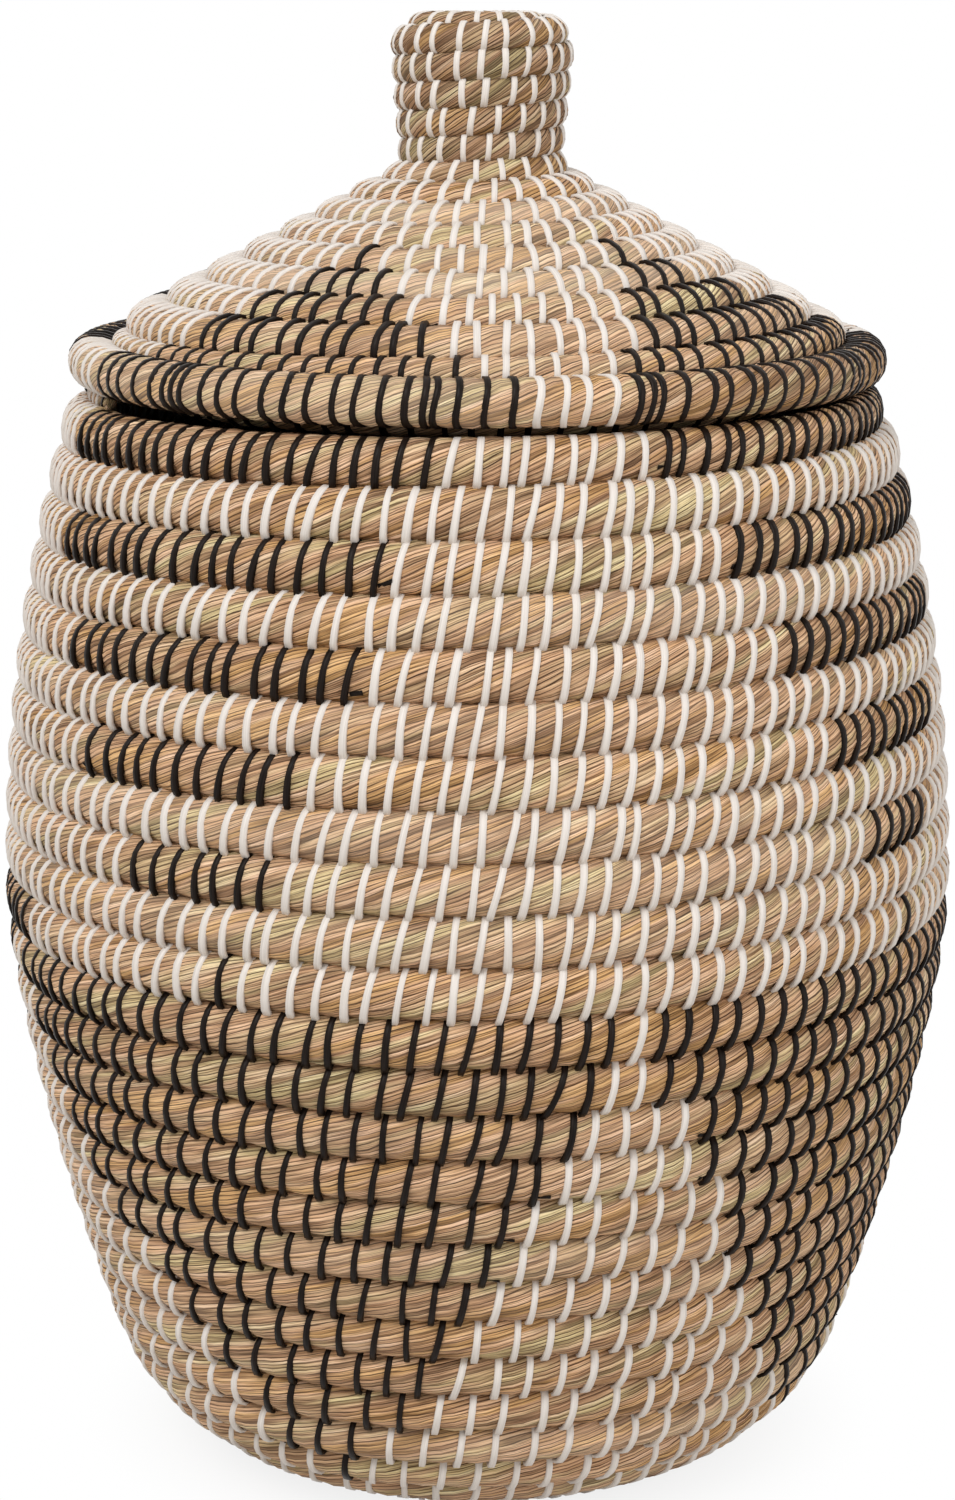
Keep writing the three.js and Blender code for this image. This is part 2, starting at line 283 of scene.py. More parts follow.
    def painted_crack_shade(self, tree: Tree, straw: Socket, own: Socket, inside: Socket) -> Socket:
        """Paints shade into the cracks between the blades, darker where a crack is deeper.

        Args:
            tree: the material's nodes.
            straw: colour of the blades.
            own: metres along the blade with its number.
            inside: share of the blade's width from its nearer edge.

        Returns:
            The colour.
        """
        seam = self.noise(tree, own, self.crack_run, self.crack_cell, 1)
        shallow, deep = self.crack_levels
        depth = add_node(tree, "ShaderNodeMapRange", inputs={
            "Value": seam, "From Min": shallow, "From Max": deep, "To Min": self.shallowest_crack,
        }).outputs[0]
        edge, clear = self.crack_reach
        painted_shade_share = add_node(
            tree, "ShaderNodeMapRange", {"interpolation_type": "SMOOTHSTEP"},
            {"Value": inside, "From Min": edge, "From Max": clear, "To Min": depth, "To Max": 0.0},
        ).outputs[0]
        # Painted shade in the gaps between the blades, darkest at each blade's edges
        return add_node(
            tree, "ShaderNodeMix", {"data_type": "RGBA"},
            {MIX_SHARE: painted_shade_share, MIX_FIRST: straw, MIX_SECOND: linear(self.crack_painted_shade)},
        ).outputs[MIXED]

    def toned(self, tree: Tree, colour: Socket) -> Socket:
        """Darkens the grass where its tone is under 1 and bleaches it where it is over 1.

        On the lid the tone also holds painted light, paler on the crown and on the rim's front and left, and
        painted shade on the rim's right side.

        Args:
            tree: the material's nodes.
            colour: colour of the blades and the painted shade in their cracks.

        Returns:
            The colour.
        """
        tone = add_node(tree, "ShaderNodeAttribute", {"attribute_name": TONE_NAME}).outputs["Fac"]
        darker = add_node(tree, "ShaderNodeMath", {"operation": "MINIMUM"}, {0: tone, 1: 1.0}).outputs[0]
        dimmed = add_node(
            tree, "ShaderNodeVectorMath", {"operation": "SCALE"}, {0: colour, "Scale": darker},
        ).outputs[0]
        paler = add_node(
            tree, "ShaderNodeMapRange", inputs={"Value": tone, "From Min": 1.0, "From Max": 2.0},
        ).outputs[0]
        # Blends towards the pale colour where the tone is over 1; on the lid's crown and rim this is painted
        # light
        return add_node(
            tree, "ShaderNodeMix", {"data_type": "RGBA"},
            {MIX_SHARE: paler, MIX_FIRST: dimmed, MIX_SECOND: linear(self.bleach_and_painted_light)},
        ).outputs[MIXED]

    def make(self) -> bpy.types.Material:
        """Makes the material.

        Returns:
            The material.
        """
        material, tree = new_material(self.name)
        laid = add_node(tree, "ShaderNodeUVMap", {"uv_map": UV_NAME}).outputs[0]
        fibre = self.noise(tree, laid, self.fibre_run, self.fibre_width, 2)
        own, inside = self.tell_apart(tree, laid)
        straw = self.straw(tree, laid, own, fibre)
        colour = self.toned(tree, self.painted_crack_shade(tree, straw, own, inside))
        roundness = add_node(
            tree, "ShaderNodeMapRange", {"interpolation_type": "SMOOTHSTEP"},
            {"Value": inside, "From Max": self.round_reach},
        ).outputs[0]
        relief = add_node(
            tree, "ShaderNodeMath", {"operation": "MULTIPLY_ADD"},
            {0: roundness, 1: self.round_share, 2: fibre},
        ).outputs[0]
        bump = add_node(tree, "ShaderNodeBump", inputs={
            "Strength": self.bump, "Distance": self.bump_height, "Height": relief,
        }).outputs[0]
        low, high = self.dull_to_waxy_levels
        dull, waxy = self.dull_to_waxy
        rough = add_node(tree, "ShaderNodeMapRange", inputs={
            "Value": fibre, "From Min": low, "From Max": high, "To Min": dull, "To Max": waxy,
        }).outputs[0]
        shader = add_node(tree, "ShaderNodeBsdfPrincipled", inputs={
            "Base Color": colour, "Roughness": rough, "Normal": bump, "IOR": self.ior,
            "Specular IOR Level": self.specular,
        })
        add_node(tree, "ShaderNodeOutputMaterial", inputs={"Surface": shader.outputs[0]})
        return material


@dataclass(frozen=True)
class PolypropyleneStrip:
    """Split polypropylene strapping, extruded flat and pulled tight round the row.

    It gives the eye a clean flat band with faint lines along it, soft worn edges and a low sheen.
    """

    name: str
    light: str
    dark: str
    roughness: float
    specular: float
    line_width: float = 0.5 * MM
    line_run: float = 24 * MM
    line_detail: float = 2.0
    line_levels: tuple[float, float] = (0.3, 0.66)
    bump: float = 0.25
    bump_height: float = 0.2 * MM
    ior: float = 1.49

    def make(self) -> bpy.types.Material:
        """Makes the material.

        Returns:
            The material.
        """
        material, tree = new_material(self.name)
        laid = add_node(tree, "ShaderNodeUVMap", {"uv_map": UV_NAME}).outputs[0]
        scaled = add_node(tree, "ShaderNodeMapping", inputs={
            "Vector": laid, "Scale": (1 / self.line_run, 1 / self.line_width, 1),
        }).outputs[0]
        lines = add_node(
            tree, "ShaderNodeTexNoise", {"noise_dimensions": "2D"},
            {"Vector": scaled, "Scale": 1.0, "Detail": self.line_detail},
        ).outputs[0]
        shades = tuple(zip(self.line_levels, (self.dark, self.light)))
        colour = add_node(tree, "ShaderNodeValToRGB", inputs={"Fac": lines}, stops=shades).outputs[0]
        bump = add_node(tree, "ShaderNodeBump", inputs={
            "Strength": self.bump, "Distance": self.bump_height, "Height": lines,
        }).outputs[0]
        shader = add_node(tree, "ShaderNodeBsdfPrincipled", inputs={
            "Base Color": colour, "Roughness": self.roughness, "Normal": bump, "IOR": self.ior,
            "Specular IOR Level": self.specular,
        })
        add_node(tree, "ShaderNodeOutputMaterial", inputs={"Surface": shader.outputs[0]})
        return material


@dataclass(frozen=True)
class PalePaperFloor:
    """Matt white paper under the basket.

    It gives the eye a soft shadow close to the basket, and fades to plain white away from it.
    """

    name: str = "matt_white_paper"
    colour: str = "#d6d3cf"
    near_white: float = 0.82
    fade_from: float = 0.09
    fade_to: float = 0.18

    def make(self) -> bpy.types.Material:
        """Makes the material.

        Returns:
            The material.
        """
        material, tree = new_material(self.name)
        place = add_node(tree, "ShaderNodeTexCoord").outputs["Object"]
        away = add_node(tree, "ShaderNodeVectorMath", {"operation": "LENGTH"}, {0: place}).outputs["Value"]
        far = add_node(
            tree, "ShaderNodeMapRange", {"interpolation_type": "SMOOTHSTEP"},
            {"Value": away, "From Min": self.fade_from, "From Max": self.fade_to, "To Min": self.near_white},
        ).outputs[0]
        seen = seen_rays(tree)
        share = add_node(tree, "ShaderNodeMath", {"operation": "MULTIPLY"}, {0: far, 1: seen}).outputs[0]
        paper = add_node(tree, "ShaderNodeBsdfDiffuse", inputs={"Color": linear(self.colour)}).outputs[0]
        white = add_node(tree, "ShaderNodeEmission", inputs={"Strength": 1.0}).outputs[0]
        surface = add_node(tree, "ShaderNodeMixShader", inputs={0: share, 1: paper, 2: white}).outputs[0]
        add_node(tree, "ShaderNodeOutputMaterial", inputs={"Surface": surface})
        return material


# The centre lines

BEND_POINTS = 90


def along_stops(run: np.ndarray | float, stops: Stops) -> np.ndarray:
    """Value at some run lengths of a size that changes evenly between stops."""
    return np.interp(run, *np.array(stops).T)


def length_of(points: np.ndarray) -> float:
    """Length of the line through some points."""
    return float(np.hypot(*np.diff(points, axis=0).T).sum())


def arc(centre: tuple[float, float], radius: float, start: float, end: float) -> np.ndarray:
    """Points round a bend.

    Args:
        centre: radius and height of its centre.
        radius: the bend's own radius.
        start: angle that it starts at, in radians.
        end: angle that it ends at.

    Returns:
        Radius and height of each point.
    """
    angles = np.linspace(start, end, BEND_POINTS)
    return np.stack([centre[0] + radius * np.cos(angles), centre[1] + radius * np.sin(angles)], axis=1)


class Profile:
    """Centre line of a bundle in the upright half plane, read by the length run along it."""

    STEP = 0.25 * MM

    def __init__(self, points: np.ndarray, outward: int) -> None:
        """Measures the line and evens out its points.

        Args:
            points: radius and height along the line.
            outward: 1 where the outside lies to the right of travel, -1 to the left.
        """
        run = np.concatenate([[0.0], np.cumsum(np.hypot(*np.diff(points, axis=0).T))])
        self.run = np.arange(0.0, run[-1], self.STEP)
        self.radius = np.interp(self.run, run, points[:, 0])
        self.height = np.interp(self.run, run, points[:, 1])
        along = np.stack([np.gradient(self.radius), np.gradient(self.height)])
        self.along = along / np.hypot(*along)
        self.outward = outward

    def at(self, run: np.ndarray) -> tuple[np.ndarray, ...]:
        """Radius, height and direction of travel at some lengths."""
        columns = (self.radius, self.height, self.along[0], self.along[1])
        return tuple(np.interp(run, self.run, column) for column in columns)


@dataclass(frozen=True)
class Section:
    """Sections across a coil: centres, directions in the upright plane, half sizes and azimuths.

    The slope is that of the blades there; the tone darkens or bleaches the blades, and on the lid's crown and
    rim it is painted light and shade.
    """

    radius: np.ndarray
    height: np.ndarray
    along: tuple[np.ndarray, np.ndarray]
    out: tuple[np.ndarray, np.ndarray]
    half_width: np.ndarray
    half_thickness: np.ndarray
    azimuth: np.ndarray
    slope: np.ndarray
    tone: np.ndarray


@dataclass(frozen=True)
class Rows:
    """Rows of a bundle along its run: their sizes, their blades, and the gap that the lashing needs."""

    widths: Stops
    thicknesses: Stops
    slopes: Stops
    tones: Stops
    lashing_gap: float


@dataclass(frozen=True)
class Lean:
    """Lean of a hand-made coil to the right: its slope and the height that it starts from."""

    slope: float = 0.0
    foot: float = 0.0


@dataclass(frozen=True)
class Tail:
    """Thinning of a bundle's last turn: the share left at its tip and the curve of the loss."""

    tip: float = 0.25
    curve: float = 1.4

    def share(self, turns: np.ndarray) -> np.ndarray:
        """Share of the full section left at some turns."""
        return 1 - (1 - self.tip) * np.clip(turns, 0, 1) ** self.curve


class Coil:
    """A bundle laid round the upright axis, read in turns; it may lean aside as a whole."""

    SAMPLES = 240
    LEAST_RADIUS = 4 * MM

    def __init__(self, first: float, last: float, direction: int, lean: Lean) -> None:
        """Measures the coil.

        Args:
            first: turn that it starts at.
            last: turn that it ends at.
            direction: 1 where it is laid to the right seen from outside, -1 to the left.
            lean: how it leans aside.
        """
        self.direction = direction
        self.lean = lean
        self.turns = np.linspace(first, last, int((last - first) * self.SAMPLES) + 2)
        steps = np.diff(self.turns) * TURN * self.section(self.turns).radius[1:]
        self.lengths = np.concatenate([[0.0], np.cumsum(steps)])

    def section(self, turns: np.ndarray) -> Section:
        """Sections at some turns."""
        raise NotImplementedError

    def place(
        self, turns: np.ndarray, across: np.ndarray, outwards: np.ndarray, shift: np.ndarray | float,
        floor: np.ndarray | float,
    ) -> np.ndarray:
        """Points beside the centre line.

        Args:
            turns: where along the coil they are.
            across: metres from the centre line towards the next row.
            outwards: metres from the centre line out of the wall.
            shift: metres to the right round the axis.
            floor: height that no point goes below.

        Returns:
            The points, with x, y and z on the last axis.
        """
        section = self.section(turns)
        radius = section.radius + across * section.along[0] + outwards * section.out[0]
        height = section.height + across * section.along[1] + outwards * section.out[1]
        azimuth = section.azimuth + shift / np.maximum(radius, self.LEAST_RADIUS)
        radius, azimuth, height = np.broadcast_arrays(radius, azimuth, np.maximum(height, floor))
        aside = self.lean.slope * np.maximum(height - self.lean.foot, 0.0)
        return np.stack([radius * np.sin(azimuth) + aside, -radius * np.cos(azimuth), height], axis=-1)


class Bundle(Coil):
    """A spiral bundle, read in turns from the start of its last turn, which thins to a tip."""

    STEPS = 96

    def __init__(
        self, profile: Profile, first_run: float, last_turn_run: float, azimuth: float, rows: Rows,
        tail: Tail, lean: Lean,
    ) -> None:
        """Lays the spiral out from its last turn.

        Args:
            profile: the centre line that it follows.
            first_run: run length that it starts at, near the axis.
            last_turn_run: run length at the start of its last turn.
            azimuth: azimuth there, in radians to the right of the front.
            rows: sizes of its rows.
            tail: how the last turn thins.
            lean: how it leans aside.
        """
        self.profile = profile
        self.azimuth = azimuth
        self.rows = rows
        self.tail = tail
        inward = [last_turn_run]
        while inward[-1] > first_run:
            inward.append(inward[-1] - self.pitch(inward[-1]) / self.STEPS)
        outward = [last_turn_run]
        for _ in range(self.STEPS):
            outward.append(outward[-1] + self.pitch(outward[-1]) / self.STEPS)
        self.run_table = np.array(inward[:0:-1] + outward)
        self.turn_table = (np.arange(len(self.run_table)) - (len(inward) - 1)) / self.STEPS
        super().__init__(self.turn_table[0], self.turn_table[-1], profile.outward, lean)

    def pitch(self, run: float) -> float:
        """Distance from this row to the next one at a run length."""
        return float(along_stops(run, self.rows.widths)) + self.rows.lashing_gap

    def run_at(self, turns: np.ndarray) -> np.ndarray:
        """Run length of the unthinned bundle at some turns."""
        return np.interp(turns, self.turn_table, self.run_table)

    def turn_at_run(self, run: float) -> float:
        """Turn at which the bundle comes to a run length."""
        return float(np.interp(run, self.run_table, self.turn_table))

    def section(self, turns: np.ndarray) -> Section:
        """Sections at some turns, thinner on the last one.

        Args:
            turns: where along the bundle they are.

        Returns:
            The sections.
        """
        full = self.run_at(turns)
        share = self.tail.share(turns)
        half = along_stops(full, self.rows.widths) / 2
        radius, height, along_r, along_z = self.profile.at(full - half * (1 - share))
        side = self.profile.outward
        contact = np.where(turns < 0, self.rows.lashing_gap / 2, 0.0)
        return Section(
            radius, height, (along_r, along_z), (side * along_z, -side * along_r),
            half * share + contact, along_stops(full, self.rows.thicknesses) / 2 * share,
            self.azimuth + side * TURN * turns, along_stops(full, self.rows.slopes),
            along_stops(full, self.rows.tones),
        )


class Hoop(Coil):
    """A level ring of one turn whose ends butt at the back."""

    def __init__(
        self, centre: tuple[float, float], fall: float, half_width: float, half_thickness: float,
        slope: float, tones: Stops = ((0.0, 1.0),),
    ) -> None:
        """Lays the ring.

        Args:
            centre: radius and height of its section's centre.
            fall: fall of its section away from the axis, in radians.
            half_width: half its size along the fall.
            half_thickness: half its size square to that.
            slope: slope of its blades, in radians.
            tones: tones of its blades by the turn; on the lid's rim these are painted light and shade.
        """
        self.centre = centre
        self.fall = fall
        self.half_width = half_width
        self.half_thickness = half_thickness
        self.slope = slope
        self.tones = tones
        super().__init__(0.0, 1.0, -1, Lean())

    def section(self, turns: np.ndarray) -> Section:
        """Sections at some turns, all alike.

        Args:
            turns: where along the ring they are.

        Returns:
            The sections.
        """
        ones = np.ones_like(turns)
        radius, height = self.centre
        cosine, sine = math.cos(self.fall), math.sin(self.fall)
        return Section(
            radius * ones, height * ones, (cosine * ones, -sine * ones), (sine * ones, cosine * ones),
            self.half_width * ones, self.half_thickness * ones, math.pi - TURN * turns, self.slope * ones,
            along_stops(turns, self.tones),
        )


# Stitches and their pattern

# The maker's unevenness: degrees of lean, and a share of a strip's width
LEAN_SPREAD = 2.7
WIDTH_SPREAD = 0.06
# Place of the first stitch and room after the last, in stitches, and the most that one strays, in spreads
FIRST_PLACE = 0.5
END_ROOM = 0.2
FURTHEST_JITTER = 2.2


@dataclass(frozen=True)
class Wedge:
    """Black wedge of the pattern, in degrees round the axis, that widens row by row from its apex.

    It reaches about a stitch to each side at its apex, and by left and right more on its last row.
    """

    apex: float
    left: float
    right: float
    rows: float
    stitch: float
    left_power: float = 1.0
    right_power: float = 1.0

    def holds(self, rows: np.ndarray, azimuth: np.ndarray) -> np.ndarray:
        """Whether stitches are inside the wedge.

        Args:
            rows: rows from the apex, 0 at the apex itself.
            azimuth: places round the axis, in radians.

        Returns:
            True for each stitch inside.
        """
        offset = (np.degrees(azimuth) - self.apex + 180) % 360 - 180
        share = np.clip(rows / self.rows, 0, None)
        left = self.stitch + self.left * share ** self.left_power
        right = self.stitch + self.right * share ** self.right_power
        return (rows >= 0) & (offset > -left) & (offset < right)


@dataclass
class Stitches:
    """Stitches of one coil: their turns, strip colours, leans, twists and shares of the full width."""

    turns: np.ndarray
    black: np.ndarray
    lean: np.ndarray
    twist: np.ndarray
    share: np.ndarray

    def pick(self, chosen: np.ndarray) -> "Stitches":
        """The chosen stitches alone."""
        return Stitches(
            self.turns[chosen], self.black[chosen], self.lean[chosen], self.twist[chosen], self.share[chosen],
        )


def stitched(
    turns: np.ndarray, black: np.ndarray, lean: float, twist: float, rng: np.random.Generator,
) -> Stitches:
    """Stitches pulled tight by hand, none quite like the next.

    Args:
        turns: where they are.
        black: which of them are black.
        lean: their usual lean, in degrees.
        twist: how much they turn on the row, as a slope.
        rng: source of the maker's unevenness.

    Returns:
        The stitches.
    """
    count = len(turns)
    leans = np.radians(rng.normal(lean, LEAN_SPREAD, count))
    return Stitches(turns, black, leans, rng.normal(0, twist, count), rng.normal(1, WIDTH_SPREAD, count))


def space_out(coil: Coil, spacing: np.ndarray | float, jitter: float, rng: np.random.Generator) -> np.ndarray:
    """Spaces stitches along a coil by eye.

    Args:
        coil: the coil to stitch.
        spacing: spacing in metres, the same all along or at each of the coil's own turns.
        jitter: spread of the spacing as a share of it.
        rng: source of the maker's unevenness.

    Returns:
        Turns of the stitches.
    """
    each = np.broadcast_to(spacing, coil.turns.shape)
    counts = np.concatenate([[0.0], np.cumsum(np.diff(coil.lengths) / each[1:])])
    places = np.arange(FIRST_PLACE, counts[-1] - END_ROOM)
    furthest = FURTHEST_JITTER * jitter
    places = places + np.clip(rng.normal(0, jitter, len(places)), -furthest, furthest)
    return np.interp(places, counts, coil.turns)


# Mesh making

MERGE_DISTANCE = 1e-7


def rest_all() -> None:
    """Leaves nothing selected."""
    bpy.ops.object.select_all(action="DESELECT")


@dataclass(frozen=True)
class Rings:
    """Rings of a tube: points by ring and line, turns, coordinates along and around, and tones."""

    points: np.ndarray
    turns: np.ndarray
    along: np.ndarray
    around: np.ndarray
    tone: np.ndarray

    def part(self, start: int, end: int) -> "Rings":
        """The rings from one to another, both included."""
        cut = slice(start, end + 1)
        return Rings(self.points[cut], self.turns[cut], self.along[cut], self.around[cut], self.tone[cut])


def rolled_tube(name: str, rings: Rings) -> bpy.types.Object:
    """Rolls a flat grid into a tube through rings, merges its seam and closes its ends.

    Args:
        name: the piece's name.
        rings: the rings, in order.

    Returns:
        The piece.
    """
    count, lines = rings.points.shape[:2]
    rest_all()
    bpy.ops.mesh.primitive_grid_add(x_subdivisions=count - 1, y_subdivisions=lines, size=1.0)
    piece = bpy.context.object
    piece.name = piece.data.name = name
    mesh = piece.data
    flat = np.empty(len(mesh.vertices) * 3)
    mesh.vertices.foreach_get("co", flat)
    flat = flat.reshape(-1, 3)
    ring = np.rint((flat[:, 0] + 0.5) * (count - 1)).astype(int)
    line = np.rint((flat[:, 1] + 0.5) * lines).astype(int)
    mesh.vertices.foreach_set("co", rings.points[ring, line % lines].ravel())
    mesh.attributes.new(TONE_NAME, "FLOAT", "POINT").data.foreach_set("value", rings.tone[ring])
    corners = np.empty(len(mesh.loops), dtype=int)
    mesh.loops.foreach_get("vertex_index", corners)
    layer = mesh.uv_layers.active
    layer.name = UV_NAME
    laid = np.stack([rings.along[ring[corners]], rings.around[ring[corners], line[corners]]], axis=1)
    layer.data.foreach_set("uv", laid.ravel())
    bpy.ops.object.mode_set(mode="EDIT")
    bpy.ops.mesh.select_all(action="SELECT")
    bpy.ops.mesh.remove_doubles(threshold=MERGE_DISTANCE)
    bpy.ops.mesh.fill_holes(sides=0)
    bpy.ops.mesh.select_all(action="SELECT")
    bpy.ops.mesh.normals_make_consistent(inside=False)
    bpy.ops.object.mode_set(mode="OBJECT")
    bpy.ops.object.shade_smooth()
    return piece


def joined_copies(name: str, points: np.ndarray, faces: np.ndarray, laid: np.ndarray) -> bpy.types.Object:
    """Joins shaped copies of one modelled form into a piece.

    Args:
        name: the piece's name.
        points: points of each copy.
        faces: corners of the form's faces.
        laid: coordinates of each copy's points along and across it, in metres.

    Returns:
        The piece.
    """
    copies, count = points.shape[:2]
    starts = (np.arange(copies) * count)[:, None, None]
    mesh = bpy.data.meshes.new(name)
    mesh.from_pydata(points.reshape(-1, 3), [], (faces[None] + starts).reshape(-1, faces.shape[1]))
    layer = mesh.uv_layers.new(name=UV_NAME)
    layer.data.foreach_set("uv", laid[:, faces.ravel()].ravel())
    mesh.update()
    piece = bpy.data.objects.new(name, mesh)
    bpy.context.scene.collection.objects.link(piece)
    rest_all()
    piece.select_set(True)
    bpy.context.view_layer.objects.active = piece
    bpy.ops.object.mode_set(mode="EDIT")
    bpy.ops.mesh.select_all(action="SELECT")
    bpy.ops.mesh.normals_make_consistent(inside=False)
    bpy.ops.object.mode_set(mode="OBJECT")
    bpy.ops.object.shade_smooth()
    return piece


def modelled_bar(segments: int, top_share: float) -> tuple[np.ndarray, np.ndarray]:
    """Models a straight bar with a narrower top, cut into segments along its length.

    Args:
        segments: how many lengths it is cut into.
        top_share: width of its top as a share of its foot.

    Returns:
        Its points, from 0 to 1 along, -0.5 to 0.5 across and 0 to 1 up, and its faces.
    """
    rest_all()
    bpy.ops.mesh.primitive_cube_add(size=1.0)
    bar = bpy.context.object
    bpy.ops.object.mode_set(mode="EDIT")
    bpy.ops.mesh.select_mode(type="EDGE")
    bpy.ops.mesh.select_all(action="DESELECT")
    shape = bmesh.from_edit_mesh(bar.data)
    for edge in shape.edges:
        if abs(edge.verts[0].co.x - edge.verts[1].co.x) > 0.5:
            edge.select_set(True)
    bmesh.update_edit_mesh(bar.data)
    bpy.ops.mesh.subdivide(number_cuts=segments - 1)
    bpy.ops.object.mode_set(mode="OBJECT")
    points = np.array([vertex.co for vertex in bar.data.vertices])
    faces = np.array([face.vertices for face in bar.data.polygons])
    bpy.data.meshes.remove(bar.data)
    points[:, 1] *= np.where(points[:, 2] > 0, top_share, 1.0)
    return points + np.array([0.5, 0.0, 0.5]), faces


# Grass and lashing

@dataclass(frozen=True)
class GrassSweep:
    """Twisted grass swept along a coil: pinched at each stitch, ridged along its blades."""

    lines: int = 40
    pinch: float = 0.6 * MM
    side_pinch: float = 0.4
    swell: float = 0.3 * MM
    relief: float = 0.3 * MM
    highest: float = 0.55 * MM
    small_relief: float = 1.4
    stitched_relief: float = 0.3
    press: float = 1.4 * MM
    free_run: float = 8 * MM
    free_power: float = 0.9
    blade_run: float = 30 * MM
    splice_run: float = 260 * MM
    tone_spread: float = 0.06
    full_half: float = 9 * MM
    least_half: float = 3 * MM
    least_size: float = 0.35
    floor: float = 0.5 * MM
    shares: tuple[float, ...] = (0.0, 0.17, 0.5, 0.83)

    def cuts(self, coil: Coil, stitches: Stitches) -> tuple[np.ndarray, np.ndarray]:
        """Places the rings at each stitch and between the stitches.

        Args:
            coil: the coil to sweep along.
            stitches: the stitches that pinch it.

        Returns:
            Turns of the rings, and how free of the stitches the grass is there, from 0 to 1.
        """
        bounds = np.concatenate([[coil.turns[0]], stitches.turns, [coil.turns[-1]]])
        shares = np.array(self.shares)
        turns = (bounds[:-1, None] + np.diff(bounds)[:, None] * shares).ravel()
        room = np.clip(np.diff(np.interp(bounds, coil.turns, coil.lengths)) / self.free_run, 0, 1)
        free = (room[:, None] * np.sin(np.pi * shares) ** self.free_power).ravel()
        return np.append(turns, bounds[-1]), np.append(free, 0.0)

    def rings(self, coil: Coil, stitches: Stitches, rng: np.random.Generator) -> Rings:
        """Rings of the whole coil.

        Args:
            coil: the coil to sweep along.
            stitches: the stitches that pinch it.
            rng: source of the blades' unevenness.

        Returns:
            The rings.
        """
        turns, free = self.cuts(coil, stitches)
        free = free[:, None]
        along = np.interp(turns, coil.turns, coil.lengths)
        section = coil.section(turns)
        half = section.half_thickness[:, None]
        size = np.clip(half / self.full_half, self.least_size, 1.0)
        rate = np.tan(section.slope) / np.maximum(section.half_thickness, self.least_half)
        slip = np.cumsum(np.diff(along, prepend=along[0]) * rate)
        angle = TURN * np.arange(self.lines) / self.lines + slip[:, None]
        knots = np.arange(0.0, along[-1] + 2 * self.blade_run, self.blade_run)
        heights = np.clip(rng.normal(0, self.relief, (self.lines, len(knots))), -self.highest, self.highest)
        ridges = np.stack([np.interp(along, knots, line) for line in heights], axis=1)
        raised = ridges * (self.stitched_relief + (1 - self.stitched_relief) * free)
        raised = raised * np.minimum(self.small_relief * size, 1.0)
        gap = (-self.pinch + (self.pinch + self.swell) * free) * size
        sine = np.sin(angle)
        pressed = self.press * (sine < 0)
        across = (section.half_width[:, None] + raised + self.side_pinch * gap + pressed) * sine
        outwards = (half + raised + gap) * np.cos(angle)
        points = coil.place(turns[:, None], across, outwards, 0.0, self.floor)
        around = TURN * half * np.arange(self.lines + 1) / self.lines
        splices = np.arange(0.0, along[-1] + 2 * self.splice_run, self.splice_run)
        spread = np.interp(along, splices, rng.normal(0, self.tone_spread, len(splices)))
        return Rings(points, turns, along, around, section.tone * (1 + spread))


